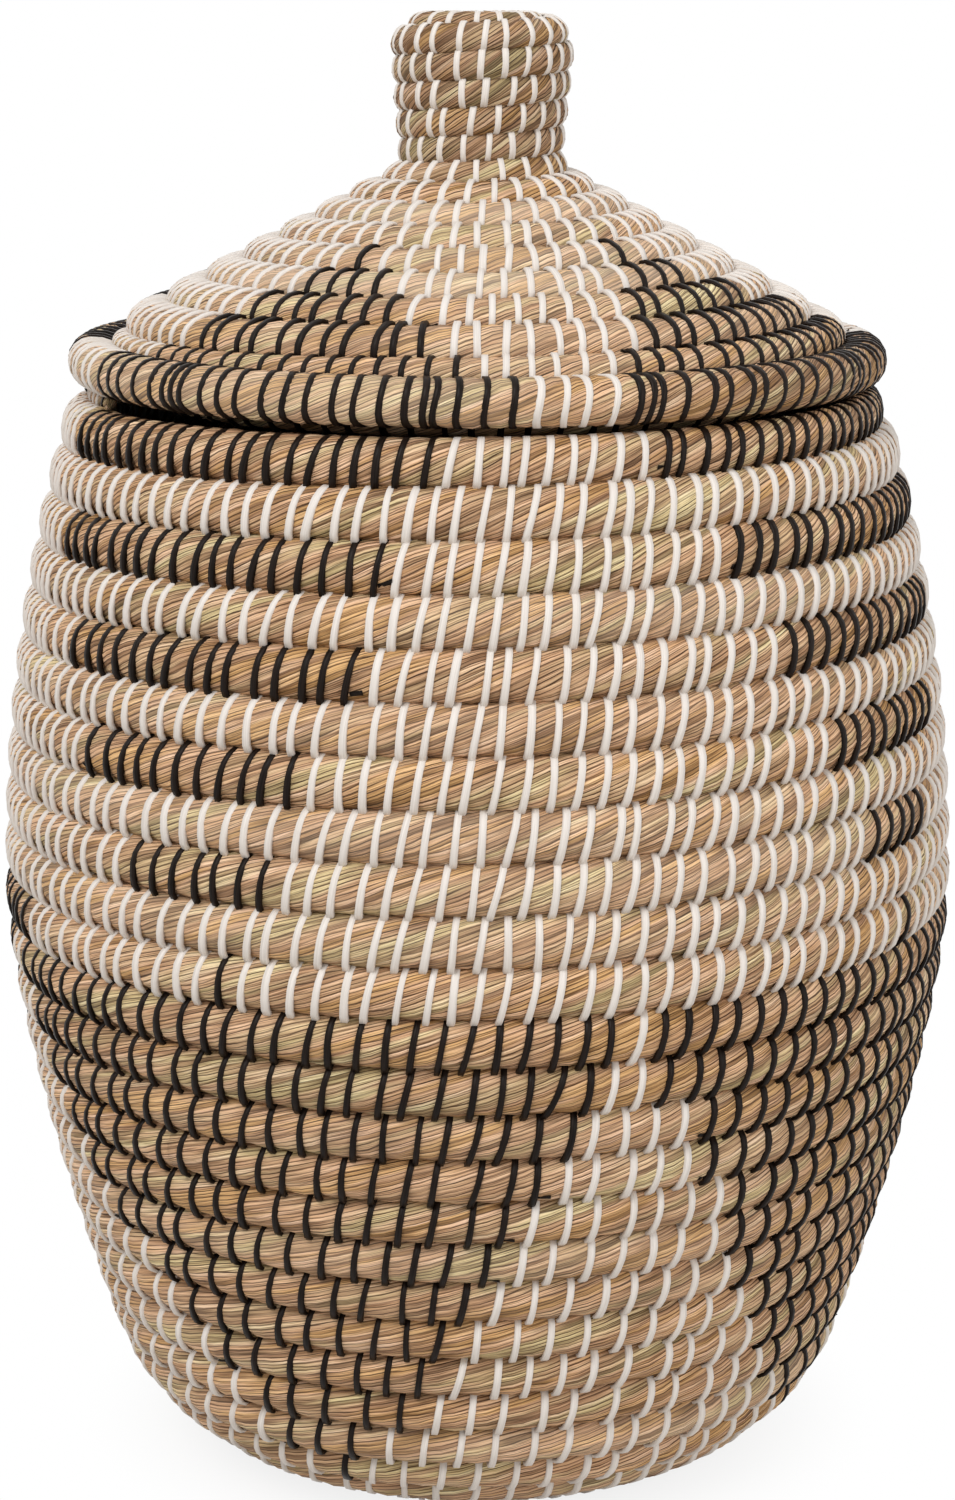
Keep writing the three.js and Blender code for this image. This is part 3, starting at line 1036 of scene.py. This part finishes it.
@dataclass
class Lashing:
    """Flat strips that wrap a row and bite into the row before it."""

    thickness: float = 1.5 * MM
    sunk: float = 0.8 * MM
    bite: float = 2.9 * MM
    bite_curve: float = 0.62
    side_height: float = 0.45
    segments: int = 16
    top_share: float = 0.76
    full_half: float = 9 * MM
    least_size: float = 0.5
    least_width: float = 0.7
    stock_step: float = 71.3 * MM
    floor: float = 0.05 * MM
    tail_lengths: tuple[float, float] = (3.5 * MM, 6 * MM)
    tail_tilts: tuple[float, float] = (-0.1, 0.25)
    tail_place: float = -0.8
    tail_width: float = 0.7
    tail_lift: float = 1.2 * MM
    tail_thickness: float = 0.9 * MM
    tail_limit: float = 0.98
    form: tuple[np.ndarray, np.ndarray] = field(init=False)

    def __post_init__(self) -> None:
        """Models the strip once."""
        self.form = modelled_bar(self.segments, self.top_share)

    def wrap(self, name: str, coil: Coil, stitches: Stitches, width: float) -> bpy.types.Object:
        """Wraps a strip round the row at each stitch.

        Args:
            name: the piece's name.
            coil: the coil that is lashed.
            stitches: where it is.
            width: the strip's width.

        Returns:
            The strips as one piece.
        """
        form, faces = self.form
        turns = stitches.turns[:, None]
        section = coil.section(turns)
        size = np.clip(section.half_thickness / self.full_half, self.least_size, 1.0)
        angle = TURN * form[:, 0] - np.pi / 2
        height = (form[:, 2] * self.thickness - self.sunk) * size
        sine, cosine = np.sin(angle), np.cos(angle)
        proud = height * (self.side_height + (1 - self.side_height) * np.abs(cosine))
        biting = self.bite * size * (sine < 0)
        fuller = np.where(sine < 0, self.bite_curve, 1.0)
        across = (section.half_width + proud + biting) * sine
        outwards = (section.half_thickness + height) * np.sign(cosine) * np.abs(cosine) ** fuller
        lean = np.tan(stitches.lean)[:, None] + stitches.twist[:, None] * cosine
        wide = width * stitches.share[:, None] * (self.least_width + (1 - self.least_width) * size)
        shift = form[:, 1] * wide + coil.direction * lean * across
        floor = self.floor + (1 - form[:, 2]) * self.sunk
        points = coil.place(turns, across, outwards, shift, floor)
        girth = TURN * section.half_thickness
        start = self.stock_step * np.arange(len(turns))[:, None]
        laid = np.stack([form[:, 0] * girth + start, form[:, 1] * wide], axis=-1)
        return joined_copies(name, points, faces, laid)

    def tails(
        self, name: str, coil: Coil, stitches: Stitches, towards: np.ndarray, width: float,
        rng: np.random.Generator,
    ) -> bpy.types.Object:
        """Lays the cut end of a strip beside the last stitch before a change of colour.

        Args:
            name: the piece's name.
            coil: the coil that is lashed.
            stitches: the last stitches.
            towards: side that each end lies to, 1 on along the coil and -1 back along it.
            width: the strip's width.
            rng: source of the ends' lengths.

        Returns:
            The ends as one piece.
        """
        form, faces = self.form
        turns = stitches.turns[:, None]
        section = coil.section(turns)
        length = rng.uniform(*self.tail_lengths, len(turns))[:, None]
        tilt = rng.uniform(*self.tail_tilts, len(turns))[:, None]
        middle = self.tail_place + tilt * form[:, 0]
        across = section.half_width * middle + form[:, 1] * width * self.tail_width
        share = np.clip(across / section.half_width, -self.tail_limit, self.tail_limit)
        lifted = self.tail_lift * form[:, 0] ** 2 + form[:, 2] * self.tail_thickness
        outwards = section.half_thickness * np.sqrt(1 - share ** 2) + lifted
        shift = towards[:, None] * coil.direction * form[:, 0] * length
        points = coil.place(turns, across, outwards, shift, self.floor)
        laid = np.stack(np.broadcast_arrays(form[:, 0] * length, form[:, 1] * width), axis=-1)
        return joined_copies(name, points, faces, laid)


@dataclass(frozen=True)
class StripStock:
    """Strip that the maker lashes with: its finish and its width."""

    finish: bpy.types.Material
    width: float


@dataclass(frozen=True)
class Stretch:
    """Spliced stretch of a coil: its name, the solid it stands for, its turns and its parts."""

    name: str
    node: str
    first: float
    last: float
    parts: int = 1


@dataclass(frozen=True)
class Dressing:
    """What every coil is dressed with: the grass, the strips and their finishes."""

    grass: bpy.types.Material
    strips: dict[Strip, StripStock]
    sweep: GrassSweep
    lashing: Lashing
    tail_share: float = 0.4

    def finish(
        self, piece: bpy.types.Object, material: bpy.types.Material, slot: str, body: str,
        nodes: Sequence[str] = (),
    ) -> None:
        """Gives a piece its finish and its body, and hides the solids that it replaces.

        Args:
            piece: the piece.
            material: its finish.
            slot: not used.
            body: the body that it moves with.
            nodes: solids that it replaces.
        """
        piece.data.materials.clear()
        piece.data.materials.append(material)
        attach(piece, body)
        if nodes:
            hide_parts(*nodes)
        LOG.info("%s: %d faces, moves with %s", piece.name, len(piece.data.polygons), body)

    def dress(
        self, coil: Coil, stitches: Stitches, stretches: Sequence[Stretch], body: str,
        rng: np.random.Generator,
    ) -> None:
        """Builds the grass and the lashing of a coil, stretch by stretch.

        Args:
            coil: the coil.
            stitches: its stitches.
            stretches: its stretches, in order.
            body: the body that it moves with.
            rng: source of the blades' unevenness.
        """
        rings = self.sweep.rings(coil, stitches, rng)
        for stretch in stretches:
            first = int(np.argmin(np.abs(rings.turns - stretch.first)))
            last = int(np.argmin(np.abs(rings.turns - stretch.last)))
            cuts = np.linspace(first, last, stretch.parts + 1).astype(int)
            for part, (start, end) in enumerate(zip(cuts[:-1], cuts[1:])):
                name = f"{stretch.name}_grass" + (f"_{part + 1}" if stretch.parts > 1 else "")
                piece = rolled_tube(name, rings.part(start, end))
                self.finish(piece, self.grass, "seagrass", body, [stretch.node])
            inside = (stitches.turns >= stretch.first) & (stitches.turns < stretch.last)
            for strip, stock in self.strips.items():
                chosen = stitches.pick(inside & (stitches.black == (strip is Strip.BLACK)))
                if len(chosen.turns):
                    name = f"{stretch.name}_{strip.value}_lashing"
                    piece = self.lashing.wrap(name, coil, chosen, stock.width)
                    self.finish(piece, stock.finish, f"{strip.value}_strip", body)
            self.lay_tails(coil, stitches, inside, stretch.name, body, rng)

    def lay_tails(
        self, coil: Coil, stitches: Stitches, inside: np.ndarray, name: str, body: str,
        rng: np.random.Generator,
    ) -> None:
        """Lays some loose black ends where a stretch changes colour.

        Args:
            coil: the coil.
            stitches: its stitches.
            inside: which of them are in the stretch.
            name: the stretch's name.
            body: the body that it moves with.
            rng: source of which ends stay loose.
        """
        black = np.pad(stitches.black, 1, mode="edge")
        towards = (~black[2:]).astype(int) - (~black[:-2]).astype(int)
        loose = rng.random(len(towards)) < self.tail_share
        chosen = inside & stitches.black & (towards != 0) & loose
        if chosen.any():
            stock = self.strips[Strip.BLACK]
            piece = self.lashing.tails(
                f"{name}_black_ends", coil, stitches.pick(chosen), towards[chosen], stock.width, rng,
            )
            self.finish(piece, stock.finish, "black_strip", body)


# The basket and its lid

@dataclass
class Basket:
    """The coiled pot: base, foot, wall and mouth, of one bundle."""

    WALL_POINTS = 500

    base_flat_radius: float = 82 * MM
    foot_bend_radius: float = 72 * MM
    foot_lean: float = math.radians(18)
    belly_radius: float = 191 * MM
    belly_height: float = 243 * MM
    mouth_radius: float = 161.7 * MM
    mouth_height: float = 441.4 * MM
    upper_wall_power: float = 2.0
    start_row_width: float = 8 * MM
    start_row_thickness: float = 9 * MM
    full_width_run: float = 60 * MM
    full_thickness_run: float = 22 * MM
    base_row_width: float = 22.5 * MM
    lower_row_width: float = 17.25 * MM
    wall_row_width: float = 18.8 * MM
    wall_row_thickness: float = 18.8 * MM
    lashing_gap: float = 1.1 * MM
    standing_flat: float = 1.9 * MM
    upper_wall_rows: int = 10
    lower_wall_rows: int = 9
    mouth_azimuth: float = math.radians(-67.5)
    start_run: float = 3 * MM
    # At the base, the belly and the mouth
    blade_slopes: tuple[float, ...] = (math.radians(12), math.radians(19), math.radians(23))
    # At the edge of the base, the foot and the belly
    tones: tuple[float, ...] = (1.03, 1.03, 1.02)
    # From the middle of the base to its edge, foot, lower wall, belly, under the mouth and mouth
    spacings: tuple[float, ...] = (
        9 * MM, 13 * MM, 13.8 * MM, 12.4 * MM, 9.9 * MM, 9.3 * MM, 8.6 * MM,
    )
    rows_under_mouth: int = 3
    spacing_jitter: float = 0.09
    strip_lean: float = 9.0
    strip_twist: float = 0.02
    wedge_apex_row: int = 11
    band_row: int = 12
    band_apex_row: int = 23
    upper_wedges: tuple[Wedge, ...] = (
        Wedge(-30, 37.8, 23.3, 10, 1.5, left_power=0.67),
        Wedge(58.5, 32.8, 30.8, 10, 1.5),
        Wedge(149, 31.8, 30.8, 10, 1.5),
        Wedge(-120, 30.8, 32.8, 10, 1.5),
    )
    lower_wedges: tuple[Wedge, ...] = (
        Wedge(-24.5, 48.2, 37.2, 11, 2.6, right_power=0.66),
        Wedge(63, 41.7, 44.7, 11, 2.6, left_power=0.72),
        Wedge(154, 44.7, 43.7, 11, 2.6),
        Wedge(-115, 44.7, 37.7, 11, 2.6),
    )
    base_run: float = field(init=False)
    spacing_stops: Stops = field(init=False)

    def swelling(self, end: tuple[float, float], power: float, start: float, stop: float) -> np.ndarray:
        """Points up a wall that swells to the belly by a power of the height.

        Args:
            end: radius and height where the wall is narrowest.
            power: the power.
            start: height to start from.
            stop: height to stop at.

        Returns:
            Radius and height of each point.
        """
        height = np.linspace(start, stop, self.WALL_POINTS)
        share = np.abs((height - self.belly_height) / (end[1] - self.belly_height))
        return np.stack([self.belly_radius - (self.belly_radius - end[0]) * share ** power, height], axis=1)

    def bundle(self) -> Bundle:
        """Lays out the bundle from the middle of the base to the tip at the mouth.

        Returns:
            The bundle; the run of its base and the spacing of its stitches are kept on the basket.
        """
        base_line = self.wall_row_thickness / 2 - self.standing_flat
        centre = (self.base_flat_radius, base_line + self.foot_bend_radius)
        bend = arc(centre, self.foot_bend_radius, -math.pi / 2, -self.foot_lean)
        foot = tuple(bend[-1])
        mouth = (self.mouth_radius, self.mouth_height)
        rise = math.tan(self.foot_lean) * (self.belly_height - foot[1]) / (self.belly_radius - foot[0])
        past_mouth = self.mouth_height + 2 * self.wall_row_width
        base = np.array([[0.0, base_line], [self.base_flat_radius, base_line]])
        lower = self.swelling(foot, rise, foot[1], self.belly_height)
        upper = self.swelling(mouth, self.upper_wall_power, self.belly_height, self.mouth_height)
        run_out = self.swelling(mouth, self.upper_wall_power, self.mouth_height, past_mouth)
        lengths = [length_of(part) for part in (base, bend, lower, upper)]
        base_run, foot_run, belly_run, mouth_run = np.cumsum(lengths)
        foot_middle, lower_middle = (base_run + foot_run) / 2, (foot_run + belly_run) / 2
        under_mouth = mouth_run - self.rows_under_mouth * self.wall_row_width
        profile = Profile(np.concatenate([base, bend[1:], lower[1:], upper[1:], run_out[1:]]), 1)
        self.base_run = base_run
        self.spacing_stops = tuple(zip(
            (0.0, base_run, foot_run, lower_middle, belly_run, under_mouth, mouth_run), self.spacings,
        ))
        rows = Rows(
            widths=(
                (0.0, self.start_row_width), (self.full_width_run, self.base_row_width),
                (foot_middle, self.lower_row_width), (lower_middle, self.lower_row_width),
                (belly_run, self.wall_row_width),
            ),
            thicknesses=(
                (0.0, self.start_row_thickness), (self.full_thickness_run, self.wall_row_thickness),
            ),
            slopes=tuple(zip((base_run, belly_run, mouth_run), self.blade_slopes)),
            tones=tuple(zip((base_run, foot_run, belly_run), self.tones)),
            lashing_gap=self.lashing_gap,
        )
        return Bundle(profile, self.start_run, mouth_run, self.mouth_azimuth, rows, Tail(), Lean())

    def black(self, rows: np.ndarray, azimuth: np.ndarray) -> np.ndarray:
        """Which stitches are black: wedges on every other row above, wedges on all rows below.

        Args:
            rows: rows counted down from the mouth, 1 at the mouth.
            azimuth: places round the axis, in radians.

        Returns:
            True for each black stitch.
        """
        above = (rows <= self.wedge_apex_row) & (rows % 2 == 1)
        below = rows >= self.band_row
        upper = np.any([w.holds(self.wedge_apex_row - rows, azimuth) for w in self.upper_wedges], axis=0)
        lower = np.any([w.holds(self.band_apex_row - rows, azimuth) for w in self.lower_wedges], axis=0)
        return (above & upper) | (below & lower)

    def build(self, dressing: Dressing, rng: np.random.Generator) -> None:
        """Builds and dresses the basket.

        Args:
            dressing: its grass and strips.
            rng: source of the maker's unevenness.
        """
        bundle = self.bundle()
        spacing = along_stops(bundle.run_at(bundle.turns), self.spacing_stops)
        turns = space_out(bundle, spacing, self.spacing_jitter, rng)
        rows = 1 - np.floor(turns).astype(int)
        black = self.black(rows, bundle.section(turns).azimuth)
        stitches = stitched(turns, black, self.strip_lean, self.strip_twist, rng)
        upper = -float(self.upper_wall_rows)
        lower = upper - self.lower_wall_rows
        foot = bundle.turn_at_run(self.base_run)
        dressing.dress(bundle, stitches, (
            Stretch("base", "base_coil", bundle.turns[0], foot),
            Stretch("foot", "foot_coil", foot, lower),
            Stretch("lower_wall", "lower_wall_coil", lower, upper, parts=2),
            Stretch("upper_wall", "upper_wall_coil", upper, 0.0, parts=3),
            Stretch("mouth", "mouth_coil", 0.0, 1.0),
        ), "basket", rng)


@dataclass
class Lid:
    """The lid: knob and crown of one bundle, a level rim and the seat ring under it."""

    FITTINGS = 4
    FITTING_POINTS = 33

    rest_height: float
    height: float = 149 * MM
    rim_radius: float = 159.5 * MM
    rim_width: float = 18.4 * MM
    rim_thickness: float = 20 * MM
    rim_grass_thickness: float = 18.2 * MM
    rim_rise: float = 0.4 * MM
    rim_gap: float = 0.3 * MM
    crown_slope: float = math.radians(29.3)
    crown_top_row_width: float = 14 * MM
    crown_foot_row_width: float = 18.5 * MM
    crown_tail_azimuth: float = math.radians(-112.5)
    crown_run_out: float = 20 * MM
    knob_radius: float = 32.4 * MM
    knob_lean: float = math.radians(5)
    knob_row_width: float = 9.9 * MM
    knob_top_bend_radius: float = 10 * MM
    knob_foot_bend_radius: float = 14 * MM
    seat_ring_width: float = 18 * MM
    lashing_gap: float = 1.1 * MM
    start_row_width: float = 5 * MM
    full_width_run: float = 9 * MM
    start_run: float = 2.5 * MM
    lean_aside: float = 0.016
    tail_curve: float = 2.4
    # At the foot of the knob, the top of the crown and the rim
    blade_slopes: tuple[float, ...] = (math.radians(31), math.radians(22), math.radians(21))
    # Tones over 1 on the crown and the rim are painted light, a paler bleach where light falls on the top
    tones: tuple[float, ...] = (0.71, 1.15, 1.13)
    # Run past the top of the crown where the painted light is full
    painted_light_from: float = 20 * MM
    rim_blade_slope: float = math.radians(25)
    # Painted light and shade round the rim by the turn: darker on the right side, paler at the front and the
    # left where the key lamp falls
    rim_painted_light_and_shade: Stops = (
        (0.0, 0.95), (0.2, 0.8), (0.33, 0.68), (0.42, 0.84), (0.5, 1.07), (0.7, 1.1), (1.0, 0.95),
    )
    # From the middle of the knob to its edge, the top of the crown and the rim
    spacings: tuple[float, ...] = (6 * MM, 8.8 * MM, 9 * MM, 9.6 * MM)
    spacing_jitter: float = 0.09
    rim_spacing: float = 9.3 * MM
    rim_spacing_jitter: float = 0.1
    seat_spacing: float = 11 * MM
    seat_spacing_jitter: float = 0.08
    strip_lean: float = 2.5
    strip_twist: float = 0.03
    rim_twist: float = -0.2
    doubled_share: float = 0.07
    doubled_step: float = 4 * MM
    last_row: int = 9
    wedge_apex_row: int = 5
    wedges: tuple[Wedge, ...] = (
        Wedge(-29, 31.2, 32.2, 5, 3.1),
        Wedge(38.3, 15.2, 51.2, 5, 3.1),
        Wedge(152, 32.2, 32.2, 5, 3.1),
        Wedge(-119, 32.2, 32.2, 5, 3.1),
    )
    top_run: float = field(init=False)
    knob_run: float = field(init=False)
    spacing_stops: Stops = field(init=False)

    def centre_line(self) -> tuple[np.ndarray, ...]:
        """Draws the centre line from the middle of the knob to the rim.

        Returns:
            Radius and height along the knob's top, upper bend, side and lower bend, and the crown.
        """
        rim = np.array([self.rim_radius, self.rest_height + self.rim_thickness / 2])
        top = self.rest_height + self.height - self.knob_row_width / 2
        inner = self.knob_radius - self.knob_top_bend_radius
        flat = np.array([[0.0, top], [inner, top]])
        top_centre = (inner, top - self.knob_top_bend_radius)
        top_bend = arc(top_centre, self.knob_top_bend_radius, math.pi / 2, -self.knob_lean)
        off_side = np.array([math.cos(self.knob_lean), -math.sin(self.knob_lean)])
        off_crown = np.array([math.sin(self.crown_slope), math.cos(self.crown_slope)])
        reaches = np.array([top_bend[-1] @ off_side, rim @ off_crown])
        foot_centre = np.linalg.solve([off_side, off_crown], reaches + self.knob_foot_bend_radius)
        foot_end = 1.5 * math.pi - self.crown_slope
        foot_bend = arc(tuple(foot_centre), self.knob_foot_bend_radius, math.pi - self.knob_lean, foot_end)
        side = np.stack([top_bend[-1], foot_bend[0]])
        return flat, top_bend, side, foot_bend, np.stack([foot_bend[-1], rim])

    def bundle(self) -> Bundle:
        """Lays out the bundle from the middle of the knob to the tip inside the rim.

        Returns:
            The bundle; the runs of its knob and the spacing of its stitches are kept on the lid.
        """
        parts = self.centre_line()
        rim = parts[-1][-1]
        lengths = [length_of(part) for part in parts]
        self.top_run, _, self.knob_run, crown_run, rim_run = np.cumsum(lengths)
        down = np.array([math.cos(self.crown_slope), -math.sin(self.crown_slope)])
        past = rim + self.crown_run_out * down
        profile = Profile(np.concatenate([parts[0], *[part[1:] for part in parts[1:]], past[None]]), -1)
        widths = (
            (0.0, self.start_row_width), (self.full_width_run, self.knob_row_width),
            (self.knob_run, self.knob_row_width), (crown_run, self.crown_top_row_width),
            (rim_run, self.crown_foot_row_width),
        )
        self.spacing_stops = tuple(zip((0.0, self.top_run, crown_run, rim_run), self.spacings))
        rows = Rows(
            widths=widths,
            thicknesses=widths,
            slopes=tuple(zip((self.knob_run, crown_run, rim_run), self.blade_slopes)),
            tones=tuple(zip((self.knob_run, crown_run + self.painted_light_from, rim_run), self.tones)),
            lashing_gap=self.lashing_gap,
        )
        lean = Lean(self.lean_aside, rim[1])
        tail = Tail(curve=self.tail_curve)
        edge = rim_run - self.rim_width / 2 - self.rim_gap
        last_turn_run = edge
        for _ in range(self.FITTINGS):
            bundle = Bundle(
                profile, self.start_run, last_turn_run, self.crown_tail_azimuth, rows, tail, lean,
            )
            turns = np.linspace(0, 1, self.FITTING_POINTS)
            full = bundle.run_at(turns)
            edges = full + along_stops(full, widths) * (tail.share(turns) - 0.5)
            last_turn_run += edge - edges.max()
        return bundle

    def black(self, rows: np.ndarray, azimuth: np.ndarray) -> np.ndarray:
        """Which stitches are black.

        Args:
            rows: rows counted down from the knob.
            azimuth: places round the axis, in radians.

        Returns:
            True for each black stitch.
        """
        return np.any([w.holds(rows - self.wedge_apex_row, azimuth) for w in self.wedges], axis=0)

    def build_crown(self, dressing: Dressing, rng: np.random.Generator) -> None:
        """Builds and dresses the knob and the crown.

        Args:
            dressing: their grass and strips.
            rng: source of the maker's unevenness.
        """
        bundle = self.bundle()
        spacing = along_stops(bundle.run_at(bundle.turns), self.spacing_stops)
        turns = space_out(bundle, spacing, self.spacing_jitter, rng)
        rows = self.last_row + np.floor(turns).astype(int)
        black = self.black(rows, bundle.section(turns).azimuth)
        stitches = stitched(turns, black, self.strip_lean, self.strip_twist, rng)
        knob = bundle.turn_at_run(self.top_run)
        crown = bundle.turn_at_run(self.knob_run)
        dressing.dress(bundle, stitches, (
            Stretch("knob_cap", "knob_cap_coil", bundle.turns[0], knob),
            Stretch("knob", "knob_coil", knob, crown),
            Stretch("crown", "crown_coil", crown, 1.0),
        ), "lid", rng)

    def build_rim(self, dressing: Dressing, rng: np.random.Generator) -> None:
        """Builds and dresses the rim, where some stitches are doubled.

        Args:
            dressing: its grass and strips.
            rng: source of the maker's unevenness.
        """
        half = self.rim_grass_thickness / 2
        centre = (self.rim_radius, self.rest_height + half + self.rim_rise)
        # The rim's tones are painted light and shade, darker on its right side
        rim = Hoop(centre, 0.0, self.rim_width / 2, half, self.rim_blade_slope, self.rim_painted_light_and_shade)
        turns = space_out(rim, self.rim_spacing, self.rim_spacing_jitter, rng)
        doubled = turns[rng.random(len(turns)) < self.doubled_share]
        turns = np.sort(np.append(turns, doubled + self.doubled_step / rim.lengths[-1]))
        black = self.black(np.full(len(turns), self.last_row + 1), rim.section(turns).azimuth)
        stitches = stitched(turns, black, self.strip_lean, self.strip_twist, rng)
        stitches.twist += self.rim_twist
        dressing.dress(rim, stitches, (Stretch("lid_rim", "lid_rim_hoop", 0.0, 1.0),), "lid", rng)

    def build_seat(self, dressing: Dressing, rng: np.random.Generator) -> None:
        """Builds and dresses the seat ring, all in black strip, where its solid is.

        Args:
            dressing: its grass and strips.
            rng: source of the maker's unevenness.
        """
        low, high = (np.array(corner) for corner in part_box("lid_seat_ring"))
        half = self.seat_ring_width / 2
        radius = (high[0] - low[0]) / 2 - (high[2] - low[2]) / 2
        centre = (float(radius), float((low[2] + high[2]) / 2))
        seat = Hoop(centre, self.crown_slope, half, half, self.rim_blade_slope)
        turns = space_out(seat, self.seat_spacing, self.seat_spacing_jitter, rng)
        black = np.ones(len(turns), dtype=bool)
        stitches = stitched(turns, black, self.strip_lean, self.strip_twist, rng)
        dressing.dress(seat, stitches, (Stretch("lid_seat", "lid_seat_ring", 0.0, 1.0),), "lid", rng)

    def build(self, dressing: Dressing, rng: np.random.Generator) -> None:
        """Builds and dresses the lid from the knob to the seat ring.

        Args:
            dressing: its grass and strips.
            rng: source of the maker's unevenness.
        """
        self.build_crown(dressing, rng)
        self.build_rim(dressing, rng)
        self.build_seat(dressing, rng)


# The studio

@dataclass(frozen=True)
class Studio:
    """Paper floor, soft lamps and the camera of the photograph."""

    camera_place: tuple[float, float, float] = (0.0, -1.4, 0.6203)
    camera_pitch: float = math.radians(77.01)
    lens: float = 80.8
    sensor_height: float = 36.0
    world_light: float = 0.62
    floor_size: float = 12.0
    key_place: tuple[float, float, float] = (-1.1, -1.7, 2.6)
    key_power: float = 52.0
    key_size: float = 1.5
    fill_place: tuple[float, float, float] = (1.7, -1.7, 1.1)
    fill_power: float = 15.5
    fill_size: float = 1.4
    aim: tuple[float, float, float] = (0.0, 0.0, 0.3)

    def lamp(self, name: str, place: tuple[float, float, float], power: float, size: float) -> None:
        """Hangs a soft square lamp that looks at the basket.

        Args:
            name: the lamp's name.
            place: where it hangs.
            power: its power in watts.
            size: length of its side.
        """
        light = bpy.data.lights.new(name, "AREA")
        light.energy = power
        light.size = size
        lamp = bpy.data.objects.new(name, light)
        away = np.array(place) - np.array(self.aim)
        flat = math.hypot(away[0], away[1])
        lamp.location = place
        lamp.rotation_euler = (math.atan2(flat, away[2]), 0.0, math.atan2(away[0], -away[1]))
        bpy.context.scene.collection.objects.link(lamp)

    def build(self) -> None:
        """Sets up floor, world, lamps and camera."""
        scene = bpy.context.scene
        rest_all()
        bpy.ops.mesh.primitive_plane_add(size=self.floor_size)
        floor = bpy.context.object
        floor.name = "paper_floor"
        floor.data.materials.append(PalePaperFloor().make())
        world = bpy.data.worlds.new("studio_air")
        world.use_nodes = True
        tree = world.node_tree
        tree.nodes.clear()
        level = add_node(tree, "ShaderNodeMapRange", inputs={
            "Value": seen_rays(tree), "To Min": self.world_light, "To Max": 1.0,
        }).outputs[0]
        sky = add_node(
            tree, "ShaderNodeBackground", inputs={"Color": linear("#ffffff"), "Strength": level},
        ).outputs[0]
        add_node(tree, "ShaderNodeOutputWorld", inputs={"Surface": sky})
        scene.world = world
        self.lamp("key_lamp", self.key_place, self.key_power, self.key_size)
        self.lamp("fill_lamp", self.fill_place, self.fill_power, self.fill_size)
        lens = bpy.data.cameras.new("photo_camera")
        lens.sensor_fit = "VERTICAL"
        lens.sensor_height = self.sensor_height
        lens.lens = self.lens
        camera = bpy.data.objects.new("photo_camera", lens)
        camera.location = self.camera_place
        camera.rotation_euler = (self.camera_pitch, 0.0, 0.0)
        scene.collection.objects.link(camera)
        scene.camera = camera
        scene.view_settings.view_transform = "Standard"


def main() -> None:
    """Builds the basket, its lid and the studio."""
    logging.basicConfig(level=logging.INFO, format="%(name)s: %(message)s")
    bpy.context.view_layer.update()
    grass = DriedSeagrass().make()
    white = PolypropyleneStrip(
        "white_polypropylene_strip", light="#e2dbd4", dark="#d5cdc5", roughness=0.5, specular=0.25,
    )
    black = PolypropyleneStrip(
        "black_polypropylene_strip", light="#201712", dark="#100b08", roughness=0.42, specular=0.11,
    )
    strips = {
        Strip.WHITE: StripStock(white.make(), width=3.25 * MM),
        Strip.BLACK: StripStock(black.make(), width=2.9 * MM),
    }
    dressing = Dressing(grass, strips, GrassSweep(), Lashing())
    Basket().build(dressing, np.random.default_rng(SEED))
    rest_height = float(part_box("lid_rim_hoop")[0][2])
    Lid(rest_height).build(dressing, np.random.default_rng(SEED + 1))
    Studio().build()


if __name__ == "__main__":
    main()
